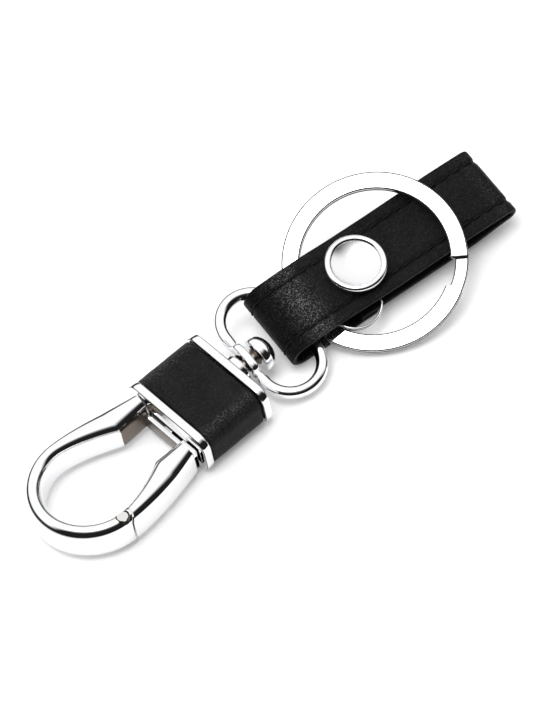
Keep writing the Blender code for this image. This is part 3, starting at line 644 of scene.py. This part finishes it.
SLEEVE_CORNER = 2.85
SLEEVE_CORNER_STEPS = 8
SLEEVE_SPACING = 0.9
SLEEVE_STEPS = 22
SLEEVE_WAVE = 0.03
# Painted sheen: how far out on the sleeve's top pale flecks crowd on its rounded edges, over what width and
# how strongly
SLEEVE_PALE_Y, SLEEVE_PALE_REACH, SLEEVE_PALE_SHARE = 8.5, 0.9, 0.4
# How far in from its end (along the block) and how deep (into it) the sleeve's turned edge runs
SLEEVE_EDGE = ((0.0, 1.15), (0.0, 0.25), (0.07, 0.08), (0.25, 0.0))


def build_sleeve():
    """Leather wrapped round the block, drawn in a little at the plates."""
    low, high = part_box("leather_sleeve")
    low, high = Vector(low) / MM, Vector(high) / MM
    middle = (low + high) / 2
    half_y = (high.y - low.y) / 2
    half_z = (high.z - low.z) / 2
    outline = []
    for i in range(4):
        outline += rounded_corner(i, half_y - SLEEVE_CORNER, half_z - SLEEVE_CORNER, SLEEVE_CORNER,
                                  SLEEVE_CORNER_STEPS)
    around = []
    for a, b in zip(outline, outline[1:] + outline[:1]):
        a, b = Vector(a), Vector(b)
        steps = max(1, round((b - a).length / SLEEVE_SPACING))
        around += [a.lerp(b, j / steps) for j in range(steps)]
    length = high.x - low.x
    margin = SLEEVE_EDGE[-1][0]
    profile = list(SLEEVE_EDGE)
    profile += [(margin + (length - 2 * margin) * i / SLEEVE_STEPS, 0.0) for i in range(1, SLEEVE_STEPS)]
    profile += [(length - x, inset) for x, inset in SLEEVE_EDGE[::-1]]
    rows = []
    for x, inset in profile:
        row = []
        for point in around:
            push = 0.0
            if inset < 0.01:
                push = SLEEVE_WAVE * noise(Vector((x * 0.5, point.x * 0.4, point.y * 0.4)))
            scale_y = (half_y - inset + push) / half_y
            scale_z = (half_z - inset + push) / half_z
            spot = Vector((low.x + x, middle.y + point.x * scale_y, middle.z + point.y * scale_z))
            row.append(spot * MM)
        rows.append(row)
    mesh = skinned("wrapped_sleeve", rows, True)
    # painted sheen along the rounded edges of the sleeve's top
    sheen = mesh.attributes.new("painted_sheen", "FLOAT", "POINT")
    for i, vert in enumerate(mesh.vertices):
        spot = vert.co / MM
        if spot.z > middle.z:
            sheen.data[i].value = SLEEVE_PALE_SHARE * bell(abs(spot.y), SLEEVE_PALE_Y, SLEEVE_PALE_REACH)
    obj = in_scene("wrapped_sleeve", mesh)
    mesh.materials.append(SLEEVE_LEATHER)
    mesh.shade_smooth()
    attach(obj, "block")
    stands_for(obj, "black_leather", "leather_sleeve")


# Metal: every piece is made in millimetres and then put in its place by chromed()

SHARP_FROM = radians(32)


def chromed(obj, name, body, node_name, place, other_face=None, other=PAINTED_SHADE, slot="polished_chrome"):
    """Plate a mesh and put it in its place; faces that other_face() picks get the other material, painted
    shade unless another is given.
    """
    obj.name = name
    mesh = obj.data
    mesh.materials.clear()
    mesh.materials.append(CHROME)
    mesh.materials.append(other)
    for face in mesh.polygons:
        face.material_index = 1 if other_face and other_face(face) else 0
    mesh.transform(Matrix.Scale(MM, 4) @ place)
    mesh.shade_smooth()
    mesh.set_sharp_from_angle(angle=SHARP_FROM)
    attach(obj, body)
    stands_for(obj, slot, node_name)


# Hook: the same outline as the CAD part, in finer steps, so that the plating mirrors cleanly
HOOK_BASE_X = -1.2
HOOK_BOW_X = -19.6
HOOK_BOW_RADIUS = 12.35
HOOK_ARM = 3.45
HOOK_BASE_HALF = 9.2
HOOK_THROAT_X = -8.0
HOOK_THROAT_HALF = 4.9
HOOK_ROOT_HALF = 5.2
HOOK_HEIGHT = 6.5
HOOK_HALF_HEIGHT = HOOK_HEIGHT / 2
HOOK_MIDDLE_Z = 4.85
HOOK_ARM_STEPS = 44
HOOK_BOW_STEPS = 100
DOME_RISE = 2.5
DOME_CREST = 0.06
HOOK_EDGE = 0.3
PIVOT = joint_place("gate_hinge") / MM
KNUCKLE = HOOK_ARM / 2
RUN_GAP = 0.3
STOP_FACE = HOOK_BASE_X - 0.9
SLOT_HALF = 2.0
SLOT_RADIUS = KNUCKLE - 0.35
TONGUE = (0.1, 1.7)
PIN_SEAT = 1.35
PIN_SEAT_DEPTH = 0.7
SEAT_REACH = 1.45
SLOT_NEAR, SLOT_FAR = 1.1, 2.3
WEB_HALF = 0.7
BASE_END_Y = -8.9
BRIDGE_HEIGHT = 3.6
STOP_HEIGHT = 5.0
BASE_ROUND = 0.12
TENON_HALF = 1.0
TENON_LOW, TENON_HIGH = 0.8, 2.8
TENON_ROUND = 0.1


def outer_half(x):
    share = (HOOK_BASE_X - x) / (HOOK_BASE_X - HOOK_BOW_X)
    return HOOK_BASE_HALF + (HOOK_BOW_RADIUS - HOOK_BASE_HALF) * sin(pi / 2 * share)


def inner_half(x):
    if x > HOOK_THROAT_X:
        share = (x - HOOK_THROAT_X) / (HOOK_BASE_X - HOOK_THROAT_X)
        return HOOK_THROAT_HALF + (HOOK_ROOT_HALF - HOOK_THROAT_HALF) * share
    share = (x - HOOK_BOW_X) / (HOOK_THROAT_X - HOOK_BOW_X)
    wide = HOOK_BOW_RADIUS - HOOK_ARM
    return wide - (wide - HOOK_THROAT_HALF) * share ** 1.5


def hook_rails():
    """Matching points on the hook's inner and outer edge, from one root round the bow to the other."""
    arm = []
    for i in range(HOOK_ARM_STEPS):
        x = HOOK_BASE_X + (HOOK_BOW_X - HOOK_BASE_X) * i / HOOK_ARM_STEPS
        arm.append((Vector((x, inner_half(x))), Vector((x, outer_half(x)))))
    bow = []
    centre = Vector((HOOK_BOW_X, 0))
    for i in range(HOOK_BOW_STEPS + 1):
        out = toward(pi / 2 + pi * i / HOOK_BOW_STEPS)
        bow.append((centre + out * (HOOK_BOW_RADIUS - HOOK_ARM), centre + out * HOOK_BOW_RADIUS))
    flip = Vector((1, -1))
    return arm + bow + [(a * flip, b * flip) for a, b in arm[::-1]]


def hook_section(width):
    """Points (from the inner side, up) round the hook's section: domed above, a fine round below."""
    reach = width / 2 - DOME_CREST
    spring = HOOK_HALF_HEIGHT - DOME_RISE
    foot = [(HOOK_EDGE - HOOK_EDGE * cos(a), HOOK_EDGE - HOOK_HALF_HEIGHT - HOOK_EDGE * sin(a))
            for a in quarter(3, 1)]
    side = [(0.0, z) for z in (HOOK_EDGE - HOOK_HALF_HEIGHT, -1.2, 0.1, spring)]
    rise = [(reach - reach * cos(a), spring + DOME_RISE * sin(a)) for a in quarter(16, 1)]
    near = foot[::-1] + side + rise
    return near + [(width - u, z) for u, z in near[::-1]]


def hook_loop():
    rows = []
    for inner, outer in hook_rails():
        across = (outer - inner).normalized()
        spots = [(inner + across * u, z) for u, z in hook_section((outer - inner).length)]
        rows.append([(spot.x, spot.y, z) for spot, z in spots])
    return loft("hook_loop", rows)


def gate_space(radius, end_x):
    """The room that the gate takes: from its knuckle to end_x on the near side."""
    space = block((PIVOT.x, -HOOK_BOW_RADIUS - HOOK_ARM, -9), (end_x, -HOOK_THROAT_HALF / 2, 9))
    return cut(space, rod(PIVOT, radius, -10, 10, 64))


def in_painted_shade(face):
    """Inner walls of the throat and the recesses round the pin, which get painted shade."""
    spot, out = face.center, face.normal
    if spot.x > HOOK_THROAT_X and abs(out.z) < 0.5 and abs(spot.y) < HOOK_ROOT_HALF + 0.1:
        return True
    if (spot.to_2d() - PIVOT.to_2d()).length >= SEAT_REACH:
        return False
    below_rim = spot.z < HOOK_HALF_HEIGHT - 0.2 and abs(out.z) < 0.9
    return below_rim or spot.z < HOOK_HALF_HEIGHT - 0.6


def build_hook():
    lift = Matrix.Translation((0, 0, HOOK_MIDDLE_Z))
    low = -HOOK_HALF_HEIGHT
    hook = cut(hook_loop(), gate_space(KNUCKLE, 1.0))
    cut(hook, rod(PIVOT, SLOT_RADIUS, -SLOT_HALF, SLOT_HALF))
    cut(hook, block((PIVOT.x, PIVOT.y - SLOT_NEAR, -SLOT_HALF),
                    (PIVOT.x + HOOK_ARM, PIVOT.y + SLOT_FAR, SLOT_HALF)))
    for bottom in (HOOK_HALF_HEIGHT - PIN_SEAT_DEPTH, -HOOK_HEIGHT):
        cut(hook, rod(PIVOT, PIN_SEAT, bottom, bottom + HOOK_HALF_HEIGHT + PIN_SEAT_DEPTH))
    bridge = block((STOP_FACE, BASE_END_Y, low),
                   (HOOK_BASE_X, HOOK_ROOT_HALF + 0.8, low + BRIDGE_HEIGHT), BASE_ROUND)
    stop = block((STOP_FACE, BASE_END_Y, low),
                 (HOOK_BASE_X, -HOOK_ROOT_HALF, low + STOP_HEIGHT), BASE_ROUND)
    tenon = block((STOP_FACE + 0.3, -TENON_HALF, low + TENON_LOW),
                  (HOOK_BASE_X + 0.6, TENON_HALF, low + TENON_HIGH), TENON_ROUND)
    chromed(joined(hook, bridge, stop, tenon), "hook_casting", "block", "hook_frame", lift, in_painted_shade)

    gate = cut(hook_loop(), gate_space(KNUCKLE + RUN_GAP, STOP_FACE - RUN_GAP), "INTERSECT")
    tongue = rod(PIVOT, SLOT_RADIUS - RUN_GAP, *TONGUE)
    web = block((PIVOT.x, PIVOT.y - WEB_HALF, TONGUE[0]),
                (PIVOT.x + HOOK_ARM, PIVOT.y + WEB_HALF, TONGUE[1]))
    chromed(joined(gate, tongue, web), "gate_casting", "gate", "gate", lift, in_painted_shade)


# End plates
PLATE_SPACING = 14.65
BLOCK_MIDDLE_Z = 4.8
PLATE_HALF_Y = 10.9
PLATE_CORNER = 3.2
PLATE_CORNER_STEPS = 14
# Distance from the plate's middle and how far in its outline lies there: softly rounded edges
PLATE_FRONT = ((0.6, 0.0), (0.76, 0.08), (0.87, 0.22), (0.9, 0.38))


def build_plates():
    layers = [(-depth, inset) for depth, inset in PLATE_FRONT[::-1]] + list(PLATE_FRONT)
    for name, x in (("end_plate_hook", 0.0), ("end_plate_swivel", PLATE_SPACING)):
        rows = []
        for depth, inset in layers:
            row = []
            for i in range(4):
                row += [(depth + x, y, BLOCK_MIDDLE_Z + z) for y, z in
                        rounded_corner(i, PLATE_HALF_Y - PLATE_CORNER, BLOCK_MIDDLE_Z - PLATE_CORNER,
                                       PLATE_CORNER - inset, PLATE_CORNER_STEPS)]
            rows.append(row)
        # painted dark reflection on the slopes of each plate's rounded edges
        chromed(loft(name, rows), name + "_shell", "block", name, Matrix.Identity(4),
                lambda face: 0.5 < abs(face.normal.x) < 0.9, DARK_REFLECTION_EDGE)


# Swivel: collar, domed post and the oval ring with its flattened, bored bar
COLLAR_START = PLATE_SPACING + 1.2
COLLAR_THICKNESS = 1.6
COLLAR_END = COLLAR_START + COLLAR_THICKNESS
COLLAR_RADIUS = 3.3
COLLAR_BORE = 1.6
COLLAR_ROUND = 0.45
DOME_FOOT = COLLAR_END + 0.75 + 2.0 + 0.9
DOME_RADIUS = 3.6
DOME_SKIRT = 0.9
DOME_HEIGHT = 2.6
POST_RADIUS = 1.3
POST_END = 7.5
OVAL_BEND = 6.05
OVAL_WIRE = 2.4
OVAL_RADIUS = OVAL_WIRE / 2
OVAL_HALF_WIDTH = 12.75
OVAL_STRAIGHT = OVAL_HALF_WIDTH - OVAL_RADIUS - OVAL_BEND
BAR_STEPS = 60
BEND_STEPS = 64
STRAIGHT_STEPS = 24
STRAP_SHIFT = 1.75
BAR_BORE = 1.95
BAR_HALF = 3.7
BAR_HIGH = 2.6
BAR_THINNER = 0.2
NECK_FROM, NECK_LENGTH = 3.9, 1.4
WIRE_SIDES = 32


def swivel_matrix():
    """The oval ring's frame: origin in the middle of its bar, Y along the wire that carries the strap."""
    across = Vector(joint_at["strap_swing"]["axis"]).normalized()
    place, along = frame_along(across)
    place.translation = STRAP.translation / MM - along * 2 * OVAL_BEND - across * STRAP_SHIFT
    return place


def oval_route():
    """Points along the oval ring's wire with the direction out of the oval, from its bar round and back."""
    long, bend = OVAL_STRAIGHT, OVAL_BEND
    route = [(Vector((0, -long + 2 * long * i / BAR_STEPS)), Vector((-1, 0))) for i in range(BAR_STEPS)]
    for i in range(BEND_STEPS + 1):
        out = toward(pi - pi * i / BEND_STEPS)
        route.append((Vector((bend, long)) + out * bend, out))
    route += [(Vector((2 * bend, long - 2 * long * i / STRAIGHT_STEPS)), Vector((1, 0)))
              for i in range(1, STRAIGHT_STEPS)]
    for i in range(BEND_STEPS):
        out = toward(-pi * i / BEND_STEPS)
        route.append((Vector((bend, -long)) + out * bend, out))
    return route


def signed_power(value, power):
    return abs(value) ** power * (1 if value > 0 else -1)


def oval_rows():
    """Sections of the oval ring: round wire that swells into a flat eye at the bar."""
    rows = []
    for point, out in oval_route():
        eye = near = 0.0
        if point.x < 0.5:
            eye = max(0.0, 1 - (abs(point.y) / BAR_HALF) ** 3) ** (1 / 3)
            near = 1 - min(1.0, max(0.0, (abs(point.y) - NECK_FROM) / NECK_LENGTH))
        high = max(OVAL_RADIUS, BAR_HIGH * eye)
        thick = OVAL_RADIUS - BAR_THINNER * near
        power = 1 - 0.55 * min(1.0, (high - 1.2) / 1.0)
        row = []
        for k in range(WIRE_SIDES):
            angle = 2 * pi * k / WIRE_SIDES
            across = thick * signed_power(cos(angle), power)
            up = high * signed_power(sin(angle), 1 - 0.25 * (1 - power))
            row.append((point.x + out.x * across, point.y + out.y * across, up))
        rows.append(row)
    return rows


def build_swivel():
    on_axis = Matrix.Translation((0, 0, BLOCK_MIDDLE_Z)) @ Matrix.Rotation(pi / 2, 4, "Y")
    edge = arc((COLLAR_RADIUS - COLLAR_ROUND, COLLAR_END - COLLAR_ROUND), COLLAR_ROUND, pi / 2, 0.0, 6)
    bore = [(COLLAR_BORE, COLLAR_END)]
    profile = bore + edge + [(COLLAR_RADIUS, COLLAR_START), (COLLAR_BORE, COLLAR_START)] + bore
    chromed(lathe("collar", profile), "collar_washer", "block", "swivel_collar", on_axis)

    head = [(DOME_RADIUS * sin(a), DOME_FOOT + DOME_SKIRT + DOME_HEIGHT * cos(a)) for a in quarter(20)]
    neck = [(3.6, 0.35), (3.5, 0.12), (3.3, 0.0), (1.75, 0.0), (1.45, -0.3), (POST_RADIUS, -0.6)]
    profile = head + [(radius, DOME_FOOT + height) for radius, height in neck]
    profile += [(POST_RADIUS, POST_END), (0, POST_END)]
    # painted shade on the neck below the dome
    chromed(lathe("post", profile), "domed_post", "block", "swivel_post", on_axis,
            lambda face: face.center.z < DOME_FOOT - 0.05, slot="polished_steel")

    oval = loft("oval", oval_rows(), True)
    hole = rod((0, 0), BAR_BORE, -3, 3)
    hole.data.transform(Matrix.Rotation(pi / 2, 4, "Y"))
    # painted shade inside the bar's bore
    chromed(cut(oval, hole), "oval_ring", "swivel", "swivel_ring", swivel_matrix(),
            lambda face: abs(face.center.x) < 0.97 and Vector(face.center.yz).length < BAR_BORE + 0.03)


def strap_place():
    """The strap's frame in millimetres, for pieces that chromed() places."""
    place = STRAP.copy()
    place.translation = STRAP.translation / MM
    return place


# Snap cap
CAP_BASE = TOP_LEVEL + 0.3
CAP_CROWN = CAP_BASE + 1.8
CAP_RADIUS = 6.0
CAP_BORE = 3.9
RIM_MIDDLE = 5.28
RIM_ROLL = 0.72
DISH_RADIUS = 4.75
DISH_FLOOR = CAP_CROWN - 1.5
DISH_RISE = 1.1
DISH_SHEET = 0.12
DISH_STEPS = 20
RIM_STEPS = 12
CAP_SIDES = 96


def build_cap():
    """Cap with a rolled rim round a shallow dish."""
    shares = [i / DISH_STEPS for i in range(1, DISH_STEPS + 1)]
    profile = [(0, DISH_FLOOR)]
    profile += [(DISH_RADIUS * share, DISH_FLOOR + DISH_RISE * share ** 2.1) for share in shares]
    profile += arc((RIM_MIDDLE, CAP_CROWN - RIM_ROLL), RIM_ROLL, 0.86 * pi, 0.0, RIM_STEPS)
    profile += [(CAP_RADIUS, CAP_BASE + 0.35), (CAP_RADIUS - 0.18, CAP_BASE), (CAP_BORE, CAP_BASE),
                (CAP_BORE, DISH_FLOOR - DISH_SHEET), (0, DISH_FLOOR - DISH_SHEET)]
    chromed(lathe("cap", profile, CAP_SIDES), "cap_shell", "strap", "snap_cap",
            strap_place() @ Matrix.Translation((SNAP_X, 0, 0)),
            lambda face: face.center.z > CAP_BASE and Vector(face.center.xy).length < DISH_RADIUS - 0.05,
            SATIN)


# Rings
KEY_RING_RADIUS = 17.5
KEY_RING_INNER = 14.2
KEY_RING_NOTCH = 0.8
KEY_RING_RAMP = radians(24)
KEY_RING_SPLIT = radians(-58)
KEY_RING_ROLL = radians(4.5)
KEY_RING_LOW = -0.8
KEY_RING_HIGH = 6.48
FLAT_HALF = 0.35
FLAT_CORNER = 0.16
# Width of the flat ring's margins, which take painted dark reflection with its eased edges
FLAT_MARGIN = 0.14
TURN_RISE = 0.5
TURN_STEPS = 150
RAMP_STEPS = 12
SMALL_RING_ROLL = radians(5)
SMALL_RING_RADIUS = KEY_RING_RADIUS * 0.297
SMALL_WIRE = 0.24
SMALL_REACH = SMALL_RING_RADIUS - 0.18
SMALL_LEAD = 0.54
SMALL_TURN_STEPS = 96
SMALL_STATIONS = 185
SMALL_SIDES = 12


def ring_place(joint_name, turn):
    place = strap_place() @ turn
    place.translation = joint_place(joint_name) / MM
    return place


def flat_ring_rows():
    """Flat split ring of two turns with eased edges, notched where its ends meet."""
    flat = 2 * pi - KEY_RING_RAMP
    turn_shares = [i / TURN_STEPS for i in range(TURN_STEPS + 1)]
    ramp_shares = [i / RAMP_STEPS for i in range(1, RAMP_STEPS + 1)]
    stations = [(flat * share, -TURN_RISE) for share in turn_shares]
    stations += [(flat + KEY_RING_RAMP * share, share - TURN_RISE) for share in ramp_shares]
    stations += [(2 * pi + flat * share, TURN_RISE) for share in turn_shares[1:]]
    rows = []
    for turn, rise in stations:
        out = toward(KEY_RING_SPLIT - turn)
        inner = KEY_RING_INNER + (KEY_RING_NOTCH if flat < turn < 2 * pi else 0.0)
        middle = (KEY_RING_RADIUS + inner) / 2
        half = (KEY_RING_RADIUS - inner) / 2
        section = []
        for i, (side, level) in enumerate(CORNERS):
            rounded = rounded_corner(i, half - FLAT_CORNER, FLAT_HALF - FLAT_CORNER, FLAT_CORNER, 4)
            margin = (side * (half - FLAT_CORNER - FLAT_MARGIN), level * FLAT_HALF)
            section += rounded + [margin] if side * level > 0 else [margin] + rounded
        rows.append([((middle + u) * out.x, (middle + u) * out.y, rise + z) for u, z in section])
    return rows


def wire_ring_rows():
    """Small wire ring, wound not quite twice."""
    section = [(SMALL_REACH + SMALL_WIRE * cos(a), SMALL_WIRE * sin(a))
               for a in (2 * pi * k / SMALL_SIDES for k in range(SMALL_SIDES))]
    rows = []
    for i in range(SMALL_STATIONS):
        turn = i / SMALL_TURN_STEPS
        out = toward(2 * pi * turn)
        rise = SMALL_LEAD * (turn - 1)
        rows.append([(radius * out.x, radius * out.y, rise + height) for radius, height in section])
    return rows


def ring_margin(face):
    """The eased edges of the flat ring and the narrow margins along them, which get painted dark
    reflection.
    """
    level = abs(face.normal.z)
    return 0.2 < level < 0.95 or (level >= 0.95 and face.area < 0.4)


def build_rings():
    tilt = asin((KEY_RING_HIGH - KEY_RING_LOW) / (2 * KEY_RING_RADIUS))
    turn = Matrix.Rotation(KEY_RING_ROLL, 4, "X") @ Matrix.Rotation(-tilt, 4, "Y")
    chromed(loft("split_ring", flat_ring_rows()), "flat_split_ring", "key_ring", "key_ring",
            ring_place("key_ring_turn", turn), ring_margin, DARK_REFLECTION_EDGE)
    chromed(loft("wire_ring", wire_ring_rows()), "wire_split_ring", "small_ring", "small_ring",
            ring_place("small_ring_turn", Matrix.Rotation(SMALL_RING_ROLL, 4, "X")), slot="polished_steel")


# Studio
FLOOR_HALF = 2.5
FLOOR_GLOW = 0.16
DARK_CENTRE = (0.025, -0.002, 0)
DARK_FROM, DARK_FULL = 0.07, 0.12
CAMERA_SIDE = (-0.45, -0.89, 0.0)
SOFTBOX_AT = (-0.09, -0.02, 0.9957)
SOFTBOX_POWER = 4.5
ROOM_POWER = 1.15
KEY_SIZE = 0.5
KEY_POWER = 1.2
KEY_DISTANCE = 0.8
KEY_AIM = Vector((24 * MM, 0, 0))


def build_floor():
    """Pale floor, brighter to the camera and in reflections; far off, mirrors see it dark."""
    work = bmesh.new()
    bmesh.ops.create_grid(work, x_segments=1, y_segments=1, size=FLOOR_HALF)
    floor = in_scene("floor", mesh_of("floor", work))
    material = bpy.data.materials.new("studio_floor")
    material.use_nodes = True
    tree = material.node_tree
    tree.nodes.clear()
    pale = node(tree, "ShaderNodeBsdfDiffuse", Color=(0.9, 0.9, 0.9, 1))
    path = node(tree, "ShaderNodeLightPath")
    lit = math(tree, "MAXIMUM", path.outputs["Is Camera Ray"], path.outputs["Is Glossy Ray"])
    glow = node(tree, "ShaderNodeEmission")
    link(tree, math(tree, "MULTIPLY", lit, FLOOR_GLOW), glow.inputs["Strength"])
    both = node(tree, "ShaderNodeAddShader")
    link(tree, pale.outputs["BSDF"], both.inputs[0])
    link(tree, glow.outputs["Emission"], both.inputs[1])

    spot = node(tree, "ShaderNodeNewGeometry")
    away = node(tree, "ShaderNodeVectorMath", operation="DISTANCE")
    link(tree, spot.outputs["Position"], away.inputs[0])
    away.inputs[1].default_value = DARK_CENTRE
    rim = ramp(tree, away.outputs["Value"], ((DARK_FROM, 0.0), (DARK_FULL, 1.0)))
    dark = node(tree, "ShaderNodeBsdfDiffuse", Color=(0.02, 0.02, 0.02, 1))
    either = node(tree, "ShaderNodeMixShader")
    link(tree, math(tree, "MULTIPLY", rim, path.outputs["Is Glossy Ray"]), either.inputs["Fac"])
    link(tree, both.outputs["Shader"], either.inputs[1])
    link(tree, dark.outputs["BSDF"], either.inputs[2])
    out = node(tree, "ShaderNodeOutputMaterial")
    link(tree, either.outputs["Shader"], out.inputs["Surface"])
    floor.data.materials.append(material)


def facing(tree, direction, target):
    """How far a direction of the surroundings points to the target."""
    new = node(tree, "ShaderNodeVectorMath", operation="DOT_PRODUCT")
    link(tree, direction, new.inputs[0])
    new.inputs[1].default_value = target
    return new.outputs["Value"]


def build_world():
    """White studio, dark low down on the camera's side, which the chrome shows as its dark streaks."""
    world = bpy.data.worlds.new("studio")
    bpy.context.scene.world = world
    world.use_nodes = True
    tree = world.node_tree
    tree.nodes.clear()
    direction = node(tree, "ShaderNodeTexCoord").outputs["Generated"]
    split = node(tree, "ShaderNodeSeparateXYZ")
    link(tree, direction, split.inputs["Vector"])
    height = split.outputs["Z"]
    near = ramp(tree, height, ((0.0, 0.012), (0.67, 0.015), (0.75, 0.15), (0.85, 0.65), (0.93, 1.0)))
    far = ramp(tree, height, ((0.0, 0.03), (0.26, 0.06), (0.4, 1.0)))
    side = ramp(tree, facing(tree, direction, CAMERA_SIDE), ((0.05, 1.0), (0.32, 0.0)))
    softbox = ramp(tree, facing(tree, direction, SOFTBOX_AT), ((0.93, 0.0), (0.985, 1.0)))
    back = node(tree, "ShaderNodeBackground")
    link(tree, mixed(tree, side, near, far), back.inputs["Color"])
    link(tree, math(tree, "MULTIPLY_ADD", softbox, SOFTBOX_POWER, ROOM_POWER), back.inputs["Strength"])
    out = node(tree, "ShaderNodeOutputWorld")
    link(tree, back.outputs["Background"], out.inputs["Surface"])


def build_key_light():
    """Soft disc above and to the left, which mirrors don't see."""
    light = bpy.data.lights.new("key", "AREA")
    light.shape = "DISK"
    light.size = KEY_SIZE
    light.energy = KEY_POWER
    obj = in_scene("key", light)
    direction = (RIGHT * -0.6 + UP * 0.45 + BACK).normalized()
    obj.location = KEY_AIM + direction * KEY_DISTANCE
    obj.rotation_euler = direction.to_track_quat("Z", "Y").to_euler()
    obj.visible_glossy = False


def build_camera():
    data = bpy.data.cameras.new("camera")
    data.lens = LENS
    data.sensor_width = SENSOR
    data.sensor_fit = "AUTO"
    data.clip_start = 0.01
    data.clip_end = 20.0
    obj = in_scene("camera", data)
    place = Matrix((RIGHT, UP, BACK)).transposed().to_4x4()
    place.translation = CAMERA_AT
    obj.matrix_world = place
    bpy.context.scene.camera = obj


build_camera()
build_floor()
build_world()
build_key_light()
build_strap()
build_stitches()
build_sleeve()
build_hook()
build_plates()
build_swivel()
build_cap()
build_rings()

bpy.context.scene.view_settings.view_transform = "Standard"
